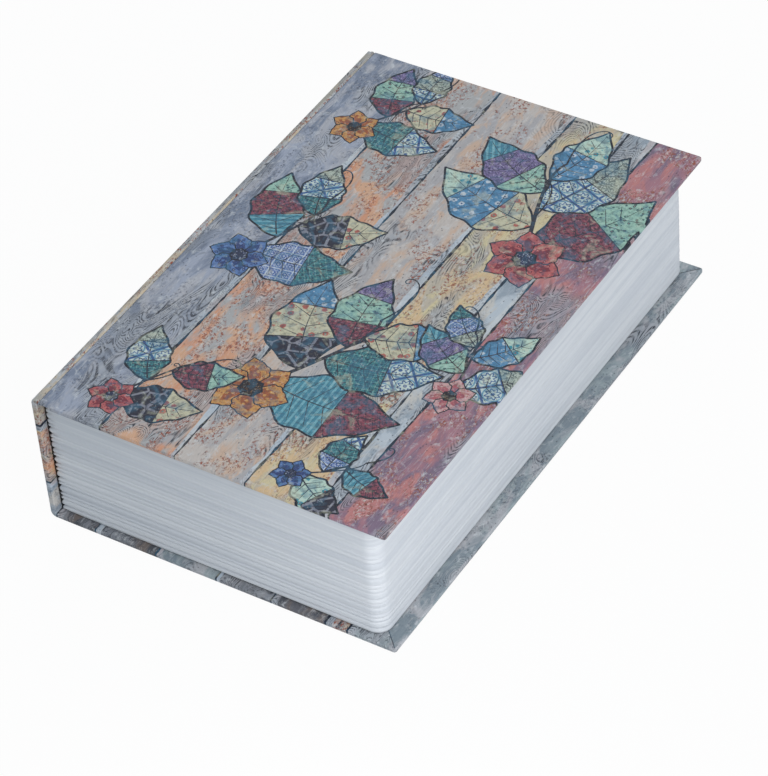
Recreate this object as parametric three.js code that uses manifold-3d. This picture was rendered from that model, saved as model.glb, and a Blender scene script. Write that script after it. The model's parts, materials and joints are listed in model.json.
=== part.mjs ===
// Book safe: a hardback book whose page block is a moulded frame round a steel strongbox.
// The closed book lies on its back cover. X runs from the spine to the fore-edge, Y from the tail
// to the head and Z up. The origin is the middle of the back cover's underside.
// Lengths are in millimetres.
import * as THREE from "three";
import { mergeVertices } from "three/addons/utils/BufferGeometryUtils.js";
import Module from "manifold-3d";

// Closed book
const bookHeight = 240;
const bookWidth = 155;
const bookThickness = 60;

// Cover, printed paper folded round grey board
const paperThickness = 0.3;
const coverBoardThickness = 1.3;
const spineBoardThickness = 1.7;
const endpaperThickness = 0.25;
const endpaperMargin = 1;
const turnInWidth = 14;
const jointWidth = 6;
const jointSink = 0.5;
const hingeLineGap = 0.2;
const spineFootRadius = 2.5;
const spineTopRadius = 0.6;
const boardCornerRadius = 1;
const glueFilm = 0.05;
const closingGap = 0.2;

// Page block, with its edges moulded as uneven ribs
const foreSquare = 6.5;
const endSquare = 3;
const spineGap = 0.8;
const blockCornerRadius = 6;
const foreRim = 4.5;
const endRim = 6.5;
const spineRim = 3.5;
const ribPitch = 3.2;
const ribDepth = 0.6;
const ribUnevenness = 0.3;

// Strongbox, a welded steel tray
const steelThickness = 1;
const boxCornerRadius = 2.5;
const boxFloorBend = 1.5;
const boxFit = 0.1;
const boxSetDown = 0.5;

// Strike rail, the angle that the latch turns under
const strikeLip = 10;
const strikeLeg = 12;
const strikeEndGap = 4;
const strikeBend = 1.6;
const strikeGap = 0.3;

// Felt lining
const feltThickness = 1.2;
const feltEdgeGap = 0.4;
const feltTopGap = 2;

// Door, a folded steel pan
const doorEndGap = 1;
const doorSpineGap = 1;
const doorCornerRadius = 2;
const doorBend = 1.2;
const swingGap = 0.6;

// Door hinge
const hingeLength = 170;
const knuckleCount = 5;
const knuckleRadius = 2.2;
const knuckleGap = 0.4;
const leafThickness = 0.8;
const doorLeafWidth = 13;
const hingePinRadius = 1.1;
const hingePinOverhang = 1;
const pinFit = 0.09;
const rivetCount = 3;
const rivetEndInset = 17;
const rivetHeadRadius = 1.4;
const rivetHeadHeight = 0.7;
const rivetShankRadius = 0.9;

// Lock plate
const plateThickness = 2;
const plateCornerRadius = 3;
const plateEdgeRadius = 0.6;
const plateInset = 12;

// Number wheels
const wheelCount = 3;
const wheelWidth = 6.4;
const wheelRadius = 6.5;
const wheelProud = 0.8;
const wheelOffset = 3.8;
const wheelSideGap = 0.1;
const wheelWallGap = 1.7;
const knobToWheels = 22.5;
const digitCount = 10;
const notchDepth = 0.5;
const notchHalfAngle = 0.09;
const wheelHubRadius = 3.2;
const wheelHubProud = 0.5;
const slotGap = 0.35;
const axleRadius = 1.5;

// Lock housing
const housingMargin = 3;
const housingWall = 1.5;
const housingFloorGap = 0.9;
const housingCornerRadius = 2.5;
const lugLength = 6;
const lugMargin = 2;
const lugWidth = 10;
const lugThickness = 2;
const cutoutMargin = 1;
const cheekThickness = 1.1;
const cheekDrop = 0.6;
const bushBossWall = 2;
const bushBossHeight = 5;
const knobToHousingEnd = 10;

// Lock screws
const screwShankRadius = 1.2;
const screwHeadRadius = 2.4;
const screwHeadHeight = 1.4;
const screwChamfer = 0.5;
const screwSlotWidth = 0.7;
const screwFit = 0.1;
const plateBossWall = 1.25;
const plateSkin = 0.6;

// Knob, spindle and latch
const knobDrop = 5.5;
const knobRadius = 11.5;
const knobHeight = 5.4;
const knobSkirtHeight = 1.7;
const knobStepWidth = 2;
const knobCapInset = 4.3;
const knobDraft = 0.4;
const knobEdgeRadius = 0.4;
const knobGap = 0.3;
const knobHeadroom = 1.25;
const knobFluteCount = 20;
const knobFluteRadius = 1.1;
const knobFluteDepth = 0.44;
const spindleRadius = 2.5;
const spindleSocketDepth = 3.2;
const runningFit = 0.09;
const bushWall = 1.41;
const bushFlangeWidth = 1.5;
const bushFlangeThickness = 1;
const camThickness = 2;
const camHubRadius = 6.5;
const camTipRadius = 4;
const camBite = 6;
const camGap = 0.4;
const camHousingGap = 1.15;
const camSquare = 3.6;
const camScrewRadius = 1.1;
const camScrewDepth = 5;
const camScrewHeadRadius = 3.6;
const camScrewHeadHeight = 1.6;

// Detent spring
const springThickness = 0.35;
const springFingerWidth = 3.6;
const springFootWidth = 4;
const springTipGap = 0.2;
const springWallGap = 1;
const springBow = 1.4;
const springTipFlare = 1;
const springTipRise = 1.5;

// Reset lever
const leverTravel = 3;
const leverStemLength = 3;
const leverStemWidth = 2;
const leverHeadLength = 6;
const leverHeadWidth = 3.6;
const leverHeadHeight = 1.5;
const leverCornerRadius = 0.6;
const leverEdgeRadius = 0.3;
const leverGrooveSpacing = 1.5;
const leverGrooveWidth = 0.6;
const leverGrooveDepth = 0.35;
const leverLip = 0.8;
const leverGap = 0.25;
const leverSideGap = 0.55;

// Smoothness of round work
const cornerSegments = 3;
const blockCornerSegments = 6;
const edgeSegments = 3;
const wheelArcSegments = 2;
const fluteSegments = 10;
const smallRoundSegments = 16;
const largeRoundSegments = 40;

// Cover places worked out from the sizes
const coverThickness = 2 * (paperThickness + glueFilm) + coverBoardThickness;
const spineThickness = 2 * (paperThickness + glueFilm) + spineBoardThickness;
const jointPaperThickness = 2 * paperThickness;
const foreX = bookWidth / 2;
const spineX = -bookWidth / 2;
const halfHeight = bookHeight / 2;
const spineInnerX = spineX + spineThickness;
const coverStartX = spineInnerX + jointWidth;
const hingeLineX = spineInnerX + jointWidth / 2;
const coverUnderZ = bookThickness - coverThickness;

// Page block and strongbox places
const blockBottomZ = coverThickness + glueFilm + endpaperThickness + glueFilm;
const blockTopZ = coverUnderZ - glueFilm - endpaperThickness - closingGap;
const blockSpineX = spineInnerX + spineGap;
const blockForeX = foreX - foreSquare;
const blockHalfY = halfHeight - endSquare;
const boxSpineX = blockSpineX + spineRim;
const boxForeX = blockForeX - foreRim;
const boxHalfY = blockHalfY - endRim;
const boxTopZ = blockTopZ - boxSetDown;
const boxFloorZ = blockBottomZ + steelThickness;
const boxInnerSpineX = boxSpineX + steelThickness;
const boxInnerForeX = boxForeX - steelThickness;
const boxInnerHalfY = boxHalfY - steelThickness;

// Door top and hinge places
const doorRecess = knobHeadroom + knobHeight + knobGap + plateThickness + glueFilm;
const doorTopZ = blockTopZ - doorRecess;
const doorUnderZ = doorTopZ - steelThickness;
const doorSpineX = boxInnerSpineX + doorSpineGap;
const doorHalfY = boxInnerHalfY - doorEndGap;
const hingeX = boxInnerSpineX + glueFilm + knuckleRadius;
const hingeZ = doorTopZ + glueFilm + knuckleRadius;
const boxRivetZ = (hingeZ + knuckleRadius + boxTopZ) / 2;
const doorRivetX = hingeX + (knuckleRadius + doorLeafWidth) / 2;

// Heights of the lock, from the plate down to the cam and the strike that it turns under
const plateBottomZ = doorTopZ + glueFilm;
const plateTopZ = plateBottomZ + plateThickness;
const knobBottomZ = plateTopZ + knobGap;
const wheelZ = plateTopZ + wheelProud - wheelRadius;
const wheelChord = Math.sqrt(wheelRadius ** 2 - (plateBottomZ - wheelZ) ** 2);
const housingTopZ = doorUnderZ - glueFilm;
const housingFloorZ = wheelZ - wheelRadius - housingFloorGap;
const housingBottomZ = housingFloorZ - housingWall;
const camTopZ = housingBottomZ - camHousingGap;
const camBottomZ = camTopZ - camThickness;
const strikeTopZ = camTopZ + camGap + steelThickness;
const strikeBottomZ = strikeTopZ - strikeLeg;
const doorBottomZ = strikeTopZ + strikeGap;

// Free edge of the door, which swings past the strongbox wall
const doorSwing = boxInnerForeX - hingeX - swingGap;
const doorForeX = hingeX + Math.sqrt(doorSwing ** 2 - (hingeZ - doorBottomZ) ** 2);
const strikeWallX = boxInnerForeX - glueFilm;
const strikeEdgeX = strikeWallX - strikeLip;

// Lining places, with the floor felt lying between the wall felts
const feltBottomZ = boxFloorZ + boxFloorBend;
const floorFeltInset = glueFilm + feltThickness + feltEdgeGap;
const spineFeltTopZ = doorBottomZ - feltTopGap;
const lowFeltTopZ = strikeBottomZ - feltEdgeGap;

// Lock places across and along the door
const bushRadius = spindleRadius + runningFit + bushWall;
const screwBossRadius = screwShankRadius + glueFilm + plateBossWall;
const housingHalfX = wheelOffset + wheelRadius + wheelWallGap + housingWall;
const plateHalfX = housingHalfX + housingMargin;
const plateX = doorForeX - plateInset - plateHalfX;
const wheelX = plateX - wheelOffset;
const knobX = plateX;
const knobY = -knobDrop;
const bayLength = wheelWidth + 2 * (wheelHubProud + wheelSideGap);
const wheelPitch = bayLength + cheekThickness;
const firstWheelY = knobY - knobToWheels;
const lastWheelY = firstWheelY - (wheelCount - 1) * wheelPitch;
const leverBayWidth = leverHeadWidth + 2 * leverSideGap;
const leverBayHeadY = lastWheelY - bayLength / 2 - cheekThickness;
const leverY = leverBayHeadY - leverBayWidth / 2;
const housingHeadY = knobY + knobToHousingEnd;
const housingTailY = leverBayHeadY - leverBayWidth - housingWall;
const plateHeadY = housingHeadY + lugLength + lugMargin;
const plateTailY = housingTailY - lugLength - lugMargin;
const screwHeadY = housingHeadY + lugLength / 2;
const screwTailY = housingTailY - lugLength / 2;
const camReach = strikeEdgeX + camBite - knobX;

const wasm = await Module();
wasm.setup();

// A closed geometry as a solid for boolean work
function toSolid(geometry) {
  const bare = geometry.clone();
  bare.deleteAttribute("normal");
  bare.deleteAttribute("uv");
  const merged = mergeVertices(bare, 1e-5);
  const corners = merged.index.array;
  const kept = [];
  for (let face = 0; face < corners.length; face += 3) {
    const [a, b, c] = [corners[face], corners[face + 1], corners[face + 2]];
    if (a !== b && b !== c && c !== a) kept.push(a, b, c);
  }
  return new wasm.Manifold(
    new wasm.Mesh({
      numProp: 3,
      vertProperties: new Float32Array(merged.attributes.position.array),
      triVerts: new Uint32Array(kept),
    }),
  );
}

// A solid as a geometry that can be drawn
function toGeometry(solid) {
  const mesh = solid.getMesh();
  const geometry = new THREE.BufferGeometry();
  geometry.setAttribute("position", new THREE.BufferAttribute(mesh.vertProperties.slice(), 3));
  geometry.setIndex(new THREE.BufferAttribute(mesh.triVerts.slice(), 1));
  geometry.computeVertexNormals();
  return geometry;
}

function join(...solids) {
  return solids.reduce((whole, solid) => whole.add(solid));
}

function cut(solid, ...tools) {
  return tools.reduce((rest, tool) => rest.subtract(tool), solid);
}

function block(lowX, highX, lowY, highY, lowZ, highZ) {
  const geometry = new THREE.BoxGeometry(highX - lowX, highY - lowY, highZ - lowZ);
  geometry.translate((lowX + highX) / 2, (lowY + highY) / 2, (lowZ + highZ) / 2);
  return toSolid(geometry);
}

// A rectangle in the XY plane with round corners
function roundedRectangle(lowX, highX, lowY, highY, radius) {
  const quarter = Math.PI / 2;
  const outline = new THREE.Shape();
  outline.absarc(highX - radius, highY - radius, radius, 0, quarter);
  outline.absarc(lowX + radius, highY - radius, radius, quarter, 2 * quarter);
  outline.absarc(lowX + radius, lowY + radius, radius, 2 * quarter, 3 * quarter);
  outline.absarc(highX - radius, lowY + radius, radius, 3 * quarter, 4 * quarter);
  return outline;
}

function polygon(points) {
  return new THREE.Shape(points.map(([x, y]) => new THREE.Vector2(x, y)));
}

// An outline in the XY plane raised between two heights
function raise(outline, lowZ, highZ, curveSegments = cornerSegments) {
  const options = { depth: highZ - lowZ, bevelEnabled: false, curveSegments };
  const geometry = new THREE.ExtrudeGeometry(outline, options);
  geometry.translate(0, 0, lowZ);
  return toSolid(geometry);
}

// A profile in the XZ plane run along Y
function runAlongY(profile, lowY, highY, curveSegments = cornerSegments) {
  const options = { depth: highY - lowY, bevelEnabled: false, curveSegments };
  const geometry = new THREE.ExtrudeGeometry(profile, options);
  geometry.rotateX(Math.PI / 2);
  geometry.translate(0, highY, 0);
  return toSolid(geometry);
}

function rodAlongZ(x, y, radius, lowZ, highZ, segments = smallRoundSegments) {
  const geometry = new THREE.CylinderGeometry(radius, radius, highZ - lowZ, segments);
  geometry.rotateX(Math.PI / 2);
  geometry.translate(x, y, (lowZ + highZ) / 2);
  return toSolid(geometry);
}

function rodAlongY(x, z, radius, lowY, highY, segments = smallRoundSegments) {
  const geometry = new THREE.CylinderGeometry(radius, radius, highY - lowY, segments);
  geometry.translate(x, (lowY + highY) / 2, z);
  return toSolid(geometry);
}

function rodAlongX(y, z, radius, lowX, highX, segments = smallRoundSegments) {
  const geometry = new THREE.CylinderGeometry(radius, radius, highX - lowX, segments);
  geometry.rotateZ(Math.PI / 2);
  geometry.translate((lowX + highX) / 2, y, z);
  return toSolid(geometry);
}

// A profile of [radius, height] points turned about an upright axis
function turned(profile, x, y, segments = largeRoundSegments) {
  const points = profile.map(([radius, height]) => new THREE.Vector2(radius, height));
  const geometry = new THREE.LatheGeometry(points, segments);
  geometry.rotateX(Math.PI / 2);
  geometry.translate(x, y, 0);
  return toSolid(geometry);
}

// A block with round upright corners and rounded top and bottom edges
function softBlock(lowX, highX, lowY, highY, lowZ, highZ, cornerRadius, edgeRadius) {
  const outline = roundedRectangle(lowX, highX, lowY, highY, cornerRadius);
  const geometry = new THREE.ExtrudeGeometry(outline, {
    depth: highZ - lowZ - 2 * edgeRadius,
    bevelThickness: edgeRadius,
    bevelSize: edgeRadius,
    bevelOffset: -edgeRadius,
    bevelSegments: edgeSegments,
    curveSegments: cornerSegments,
  });
  geometry.translate(0, 0, lowZ + edgeRadius);
  return toSolid(geometry);
}

// A block whose top edges are rounded and whose underside is square
function cappedBlock(lowX, highX, lowY, highY, lowZ, highZ, cornerRadius, edgeRadius) {
  const foot = lowZ - 2 * edgeRadius;
  const whole = softBlock(lowX, highX, lowY, highY, foot, highZ, cornerRadius, edgeRadius);
  return cut(whole, block(lowX - 1, highX + 1, lowY - 1, highY + 1, foot - 1, lowZ));
}

// Rings of points one above the other, skinned and capped; every ring is convex
function skin(rings) {
  const count = rings[0].length;
  const faces = [];
  for (let level = 0; level < rings.length - 1; level += 1) {
    for (let step = 0; step < count; step += 1) {
      const here = level * count + step;
      const beside = level * count + ((step + 1) % count);
      faces.push(here, beside, beside + count, here, beside + count, here + count);
    }
  }
  const top = (rings.length - 1) * count;
  for (let step = 1; step < count - 1; step += 1) {
    faces.push(0, step + 1, step);
    faces.push(top, top + step, top + step + 1);
  }
  const places = rings.flat().flatMap((point) => [point.x, point.y, point.z]);
  const geometry = new THREE.BufferGeometry();
  geometry.setAttribute("position", new THREE.Float32BufferAttribute(places, 3));
  geometry.setIndex(faces);
  return toSolid(geometry);
}

// Printed wrap of the back board and the spine, up to the front joint's fold
function caseWrap() {
  const stripX = hingeLineX - hingeLineGap;
  const profile = new THREE.Shape();
  profile.moveTo(foreX, 0);
  profile.lineTo(foreX, coverThickness);
  profile.lineTo(coverStartX, coverThickness);
  profile.lineTo(coverStartX, jointPaperThickness);
  profile.lineTo(spineInnerX, jointPaperThickness);
  profile.lineTo(spineInnerX, bookThickness - jointPaperThickness);
  profile.lineTo(stripX, bookThickness - jointSink - jointPaperThickness);
  profile.lineTo(stripX, bookThickness - jointSink);
  profile.lineTo(spineInnerX, bookThickness);
  profile.absarc(
    spineX + spineTopRadius,
    bookThickness - spineTopRadius,
    spineTopRadius,
    Math.PI / 2,
    Math.PI,
  );
  profile.absarc(
    spineX + spineFootRadius,
    spineFootRadius,
    spineFootRadius,
    Math.PI,
    1.5 * Math.PI,
  );
  const whole = runAlongY(profile, -halfHeight, halfHeight);
  const pocketY = halfHeight - paperThickness;
  const windowY = halfHeight - turnInWidth;
  const boardPocket = block(
    coverStartX,
    foreX - paperThickness,
    -pocketY,
    pocketY,
    paperThickness,
    coverThickness - paperThickness,
  );
  const boardWindow = block(
    coverStartX,
    foreX - turnInWidth,
    -windowY,
    windowY,
    coverThickness / 2,
    coverThickness + 1,
  );
  const spinePocket = block(
    spineX + paperThickness,
    spineInnerX - paperThickness,
    -pocketY,
    pocketY,
    spineFootRadius,
    bookThickness - jointPaperThickness,
  );
  const spineWindow = block(
    spineX + spineThickness / 2,
    spineInnerX + 1,
    -windowY,
    windowY,
    spineFootRadius + 1,
    bookThickness - 2 * jointPaperThickness,
  );
  return cut(whole, boardPocket, boardWindow, spinePocket, spineWindow);
}

// Printed wrap of the front board, from the joint's fold
function frontWrap() {
  const stripX = hingeLineX + hingeLineGap;
  const profile = polygon([
    [stripX, bookThickness - jointSink - jointPaperThickness],
    [coverStartX, bookThickness - jointPaperThickness],
    [coverStartX, coverUnderZ],
    [foreX, coverUnderZ],
    [foreX, bookThickness],
    [coverStartX, bookThickness],
    [stripX, bookThickness - jointSink],
  ]);
  const whole = runAlongY(profile, -halfHeight, halfHeight);
  const pocketY = halfHeight - paperThickness;
  const windowY = halfHeight - turnInWidth;
  const pocket = block(
    coverStartX,
    foreX - paperThickness,
    -pocketY,
    pocketY,
    coverUnderZ + paperThickness,
    bookThickness - paperThickness,
  );
  const window = block(
    coverStartX,
    foreX - turnInWidth,
    -windowY,
    windowY,
    coverUnderZ - 1,
    coverUnderZ + coverThickness / 2,
  );
  return cut(whole, pocket, window);
}

// A grey board lying in its wrap, with the underside at a given height
function coverBoard(lowZ) {
  const edge = paperThickness + glueFilm;
  const outline = roundedRectangle(
    coverStartX + glueFilm,
    foreX - edge,
    edge - halfHeight,
    halfHeight - edge,
    boardCornerRadius,
  );
  return raise(outline, lowZ + edge, lowZ + edge + coverBoardThickness);
}

function spineBoard() {
  const edge = paperThickness + glueFilm;
  return block(
    spineX + edge,
    spineInnerX - edge,
    edge - halfHeight,
    halfHeight - edge,
    spineFootRadius + glueFilm,
    bookThickness - jointPaperThickness - glueFilm,
  );
}

// The sheet pasted over a board's inner face, kept inside the page block's outline
function endpaper(lowZ) {
  const halfY = blockHalfY - endpaperMargin;
  const outline = roundedRectangle(
    coverStartX + endpaperMargin,
    blockForeX - endpaperMargin,
    -halfY,
    halfY,
    blockCornerRadius - endpaperMargin,
  );
  return raise(outline, lowZ, lowZ + endpaperThickness);
}

// The page block's outline, drawn in by some depth on its three free sides
function pageOutline(drawnIn, z) {
  const cornerX = blockForeX - blockCornerRadius;
  const cornerY = blockHalfY - blockCornerRadius;
  const radius = blockCornerRadius - drawnIn;
  const points = [new THREE.Vector3(blockSpineX, drawnIn - blockHalfY, z)];
  for (const [side, start] of [[-1, -Math.PI / 2], [1, 0]]) {
    for (let step = 0; step <= blockCornerSegments; step += 1) {
      const angle = start + (step / blockCornerSegments) * (Math.PI / 2);
      const x = cornerX + radius * Math.cos(angle);
      const y = side * cornerY + radius * Math.sin(angle);
      points.push(new THREE.Vector3(x, y, z));
    }
  }
  points.push(new THREE.Vector3(blockSpineX, blockHalfY - drawnIn, z));
  return points;
}

// One ring in each valley and two on each rib, with ribs of uneven height and depth
function pageRings() {
  const height = blockTopZ - blockBottomZ;
  const ribCount = Math.round(height / ribPitch);
  const shares = [];
  for (let rib = 0; rib < ribCount; rib += 1) {
    shares.push(1 + ribUnevenness * Math.sin(2.4 * rib) * Math.cos(0.9 * rib));
  }
  const total = shares.reduce((sum, share) => sum + share);
  const rings = [pageOutline(ribDepth, blockBottomZ)];
  let foot = blockBottomZ;
  shares.forEach((share, rib) => {
    const rise = (height * share) / total;
    const crest = ribDepth * ribUnevenness * (1 + Math.cos(1.7 * rib));
    rings.push(pageOutline(crest, foot + rise / 4));
    rings.push(pageOutline(crest, foot + (3 * rise) / 4));
    foot += rise;
    rings.push(pageOutline(ribDepth, foot));
  });
  return rings;
}

// The moulded frame that looks like a block of pages
function pageBlock() {
  const hole = roundedRectangle(
    boxSpineX - boxFit,
    boxForeX + boxFit,
    -boxHalfY - boxFit,
    boxHalfY + boxFit,
    boxCornerRadius,
  );
  return cut(skin(pageRings()), raise(hole, blockBottomZ - 1, blockTopZ + 1));
}

// The strongbox, open on top, with holes for the hinge rivets
function safeBox() {
  const outer = softBlock(
    boxSpineX,
    boxForeX,
    -boxHalfY,
    boxHalfY,
    blockBottomZ,
    boxTopZ + boxFloorBend + 1,
    boxCornerRadius,
    boxFloorBend,
  );
  const inner = softBlock(
    boxInnerSpineX,
    boxInnerForeX,
    -boxInnerHalfY,
    boxInnerHalfY,
    boxFloorZ,
    bookThickness + boxFloorBend,
    boxCornerRadius - steelThickness,
    boxFloorBend - steelThickness,
  );
  const above = block(spineX, foreX, -halfHeight, halfHeight, boxTopZ, bookThickness + 2);
  const holes = rivetPlaces().map((y) =>
    rodAlongX(
      y,
      boxRivetZ,
      rivetShankRadius + glueFilm,
      boxSpineX - 1,
      boxInnerSpineX + 1,
      smallRoundSegments,
    ),
  );
  return cut(outer, inner, above, ...holes);
}

// The angle under which the latch turns
function strikeRail() {
  const profile = new THREE.Shape();
  profile.moveTo(strikeWallX, strikeBottomZ);
  profile.absarc(
    strikeWallX - strikeBend,
    strikeTopZ - strikeBend,
    strikeBend,
    0,
    Math.PI / 2,
  );
  profile.lineTo(strikeEdgeX, strikeTopZ);
  profile.lineTo(strikeEdgeX, strikeTopZ - steelThickness);
  profile.absarc(
    strikeWallX - strikeBend,
    strikeTopZ - strikeBend,
    strikeBend - steelThickness,
    Math.PI / 2,
    0,
    true,
  );
  profile.lineTo(strikeWallX - steelThickness, strikeBottomZ);
  const halfY = boxInnerHalfY - strikeEndGap;
  return runAlongY(profile, -halfY, halfY);
}

function feltFloor() {
  const halfY = boxInnerHalfY - floorFeltInset;
  const outline = roundedRectangle(
    boxInnerSpineX + floorFeltInset,
    boxInnerForeX - floorFeltInset,
    -halfY,
    halfY,
    boxCornerRadius - steelThickness,
  );
  const lowZ = boxFloorZ + glueFilm;
  return raise(outline, lowZ, lowZ + feltThickness);
}

// A felt strip on a long wall, from its inner side
function feltLongWall(lowX, topZ) {
  const halfY = boxInnerHalfY - feltThickness - 2 * feltEdgeGap;
  return block(lowX, lowX + feltThickness, -halfY, halfY, feltBottomZ, topZ);
}

// A felt strip on an end wall
function feltEndWall(lowY) {
  const lowX = boxInnerSpineX + boxCornerRadius;
  const highX = boxInnerForeX - boxCornerRadius;
  return block(lowX, highX, lowY, lowY + feltThickness, feltBottomZ, lowFeltTopZ);
}

// Places of the rivets along the hinge, spread evenly between its ends
function rivetPlaces() {
  const endY = hingeLength / 2 - rivetEndInset;
  const step = (2 * endY) / (rivetCount - 1);
  return Array.from({ length: rivetCount }, (_, place) => place * step - endY);
}

// The stretches of the hinge that one leaf's knuckles take; the box leaf has the even ones
function knuckleSpans(isDoor) {
  const pitch = hingeLength / knuckleCount;
  const spans = [];
  for (let place = isDoor ? 1 : 0; place < knuckleCount; place += 2) {
    const lowY = place * pitch - hingeLength / 2;
    spans.push([lowY, lowY + pitch]);
  }
  return spans;
}

// A hinge leaf: its strip, cut clear of the other leaf's knuckles, and its own knuckles
function hingeLeaf(strip, isDoor) {
  const own = knuckleSpans(isDoor).map(([lowY, highY]) =>
    rodAlongY(hingeX, hingeZ, knuckleRadius, lowY + knuckleGap / 2, highY - knuckleGap / 2),
  );
  const clearances = knuckleSpans(!isDoor).map(([lowY, highY]) =>
    rodAlongY(
      hingeX,
      hingeZ,
      knuckleRadius + knuckleGap,
      lowY - knuckleGap / 2,
      highY + knuckleGap / 2,
    ),
  );
  const bore = rodAlongY(hingeX, hingeZ, hingePinRadius + pinFit, -hingeLength, hingeLength);
  return cut(join(cut(strip, ...clearances), ...own), bore);
}

function hingeLeafBox() {
  const strip = block(
    boxInnerSpineX + glueFilm,
    boxInnerSpineX + glueFilm + leafThickness,
    -hingeLength / 2,
    hingeLength / 2,
    hingeZ,
    boxTopZ - glueFilm,
  );
  const holes = rivetPlaces().map((y) =>
    rodAlongX(y, boxRivetZ, rivetShankRadius + glueFilm, boxSpineX, hingeX),
  );
  return cut(hingeLeaf(strip, false), ...holes);
}

function hingeLeafDoor() {
  const outline = roundedRectangle(
    hingeX - doorLeafWidth,
    hingeX + doorLeafWidth,
    -hingeLength / 2,
    hingeLength / 2,
    doorCornerRadius,
  );
  const sheet = raise(outline, doorTopZ + glueFilm, doorTopZ + glueFilm + leafThickness);
  const spare = block(hingeX - 2 * doorLeafWidth, hingeX, -hingeLength, hingeLength, 0, bookThickness);
  const holes = rivetPlaces().map((y) =>
    rodAlongZ(doorRivetX, y, rivetShankRadius + glueFilm, doorUnderZ, hingeZ),
  );
  return cut(hingeLeaf(cut(sheet, spare), true), ...holes);
}

function hingePin() {
  const end = hingeLength / 2 + hingePinOverhang;
  return rodAlongY(hingeX, hingeZ, hingePinRadius, -end, end);
}

// A domed rivet standing on the XY plane, with its shank below
function rivet(shankLength, tailHeight) {
  const profile = [];
  for (let step = 0; step <= edgeSegments; step += 1) {
    const angle = (step / edgeSegments) * (Math.PI / 2);
    profile.push([rivetHeadRadius * Math.sin(angle), rivetHeadHeight * Math.cos(angle)]);
  }
  profile.push([rivetShankRadius, 0]);
  profile.push([rivetShankRadius, -shankLength]);
  if (tailHeight > 0) {
    profile.push([rivetHeadRadius, -shankLength]);
    profile.push([rivetShankRadius, -shankLength - tailHeight]);
  }
  profile.push([0, -shankLength - tailHeight]);
  const points = profile.reverse().map(([radius, height]) => new THREE.Vector2(radius, height));
  const geometry = new THREE.LatheGeometry(points, smallRoundSegments);
  geometry.rotateX(Math.PI / 2);
  return geometry;
}

// A rivet through the box leaf and the strongbox wall, flush outside
function boxRivet(y) {
  const headX = boxInnerSpineX + leafThickness + 2 * glueFilm;
  const geometry = rivet(headX - boxSpineX - glueFilm, 0);
  geometry.rotateY(Math.PI / 2);
  geometry.translate(headX, y, boxRivetZ);
  return toSolid(geometry);
}

// A rivet through the door leaf and the door, with its tail spread below
function doorRivet(y) {
  const headZ = doorTopZ + leafThickness + 2 * glueFilm;
  const geometry = rivet(headZ - doorUnderZ + glueFilm, rivetHeadHeight);
  geometry.translate(doorRivetX, y, headZ);
  return toSolid(geometry);
}

// The door, with a cut-out for the lock and holes for its screws and the rivets
function doorPan() {
  const outer = cappedBlock(
    doorSpineX,
    doorForeX,
    -doorHalfY,
    doorHalfY,
    doorBottomZ,
    doorTopZ,
    doorCornerRadius,
    doorBend,
  );
  const inner = cappedBlock(
    doorSpineX + steelThickness,
    doorForeX - steelThickness,
    steelThickness - doorHalfY,
    doorHalfY - steelThickness,
    doorBottomZ - 1,
    doorUnderZ,
    doorCornerRadius - steelThickness,
    doorBend - steelThickness,
  );
  const inset = housingWall + cutoutMargin;
  const cutout = roundedRectangle(
    plateX - housingHalfX + inset,
    plateX + housingHalfX - inset,
    housingTailY + inset,
    housingHeadY - inset,
    housingCornerRadius,
  );
  const screwHoles = [screwHeadY, screwTailY].map((y) =>
    rodAlongZ(plateX, y, screwBossRadius + screwFit, doorUnderZ - 1, doorTopZ + 1),
  );
  const rivetHoles = rivetPlaces().map((y) =>
    rodAlongZ(doorRivetX, y, rivetShankRadius + glueFilm, doorUnderZ - 1, doorTopZ + 1),
  );
  const opening = raise(cutout, doorUnderZ - 1, doorTopZ + 1);
  return cut(outer, inner, opening, ...screwHoles, ...rivetHoles);
}

function wheelPlaces() {
  return Array.from({ length: wheelCount }, (_, wheel) => firstWheelY - wheel * wheelPitch);
}

// The black plate, with a slot for each wheel, a bore for the bush and two screw bosses
function lockPlate() {
  const body = cappedBlock(
    plateX - plateHalfX,
    plateX + plateHalfX,
    plateTailY,
    plateHeadY,
    plateBottomZ,
    plateTopZ,
    plateCornerRadius,
    plateEdgeRadius,
  );
  const slots = wheelPlaces().map((y) =>
    raise(
      roundedRectangle(
        wheelX - wheelChord - slotGap,
        wheelX + wheelChord + slotGap,
        y - wheelWidth / 2 - slotGap,
        y + wheelWidth / 2 + slotGap,
        slotGap,
      ),
      plateBottomZ - 1,
      plateTopZ + 1,
    ),
  );
  const bore = rodAlongZ(knobX, knobY, bushRadius + glueFilm, plateBottomZ - 1, plateTopZ + 1);
  const bosses = [];
  const pilots = [];
  for (const y of [screwHeadY, screwTailY]) {
    bosses.push(rodAlongZ(plateX, y, screwBossRadius, housingTopZ + glueFilm, plateTopZ - plateSkin));
    pilots.push(
      rodAlongZ(plateX, y, screwShankRadius + glueFilm, doorBottomZ, plateTopZ - plateSkin),
    );
  }
  return cut(join(body, ...bosses), ...slots, bore, ...pilots);
}

// Round outline of a number wheel, with a finger notch between each two digits
function wheelOutline() {
  const outline = new THREE.Shape();
  const pitch = (2 * Math.PI) / digitCount;
  for (let digit = 0; digit < digitCount; digit += 1) {
    const notch = (digit + 0.5) * pitch;
    const bottom = wheelRadius - notchDepth;
    if (digit === 0) outline.moveTo(bottom * Math.cos(notch), bottom * Math.sin(notch));
    else outline.lineTo(bottom * Math.cos(notch), bottom * Math.sin(notch));
    outline.absarc(0, 0, wheelRadius, notch + notchHalfAngle, notch + pitch - notchHalfAngle);
  }
  return outline;
}

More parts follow.
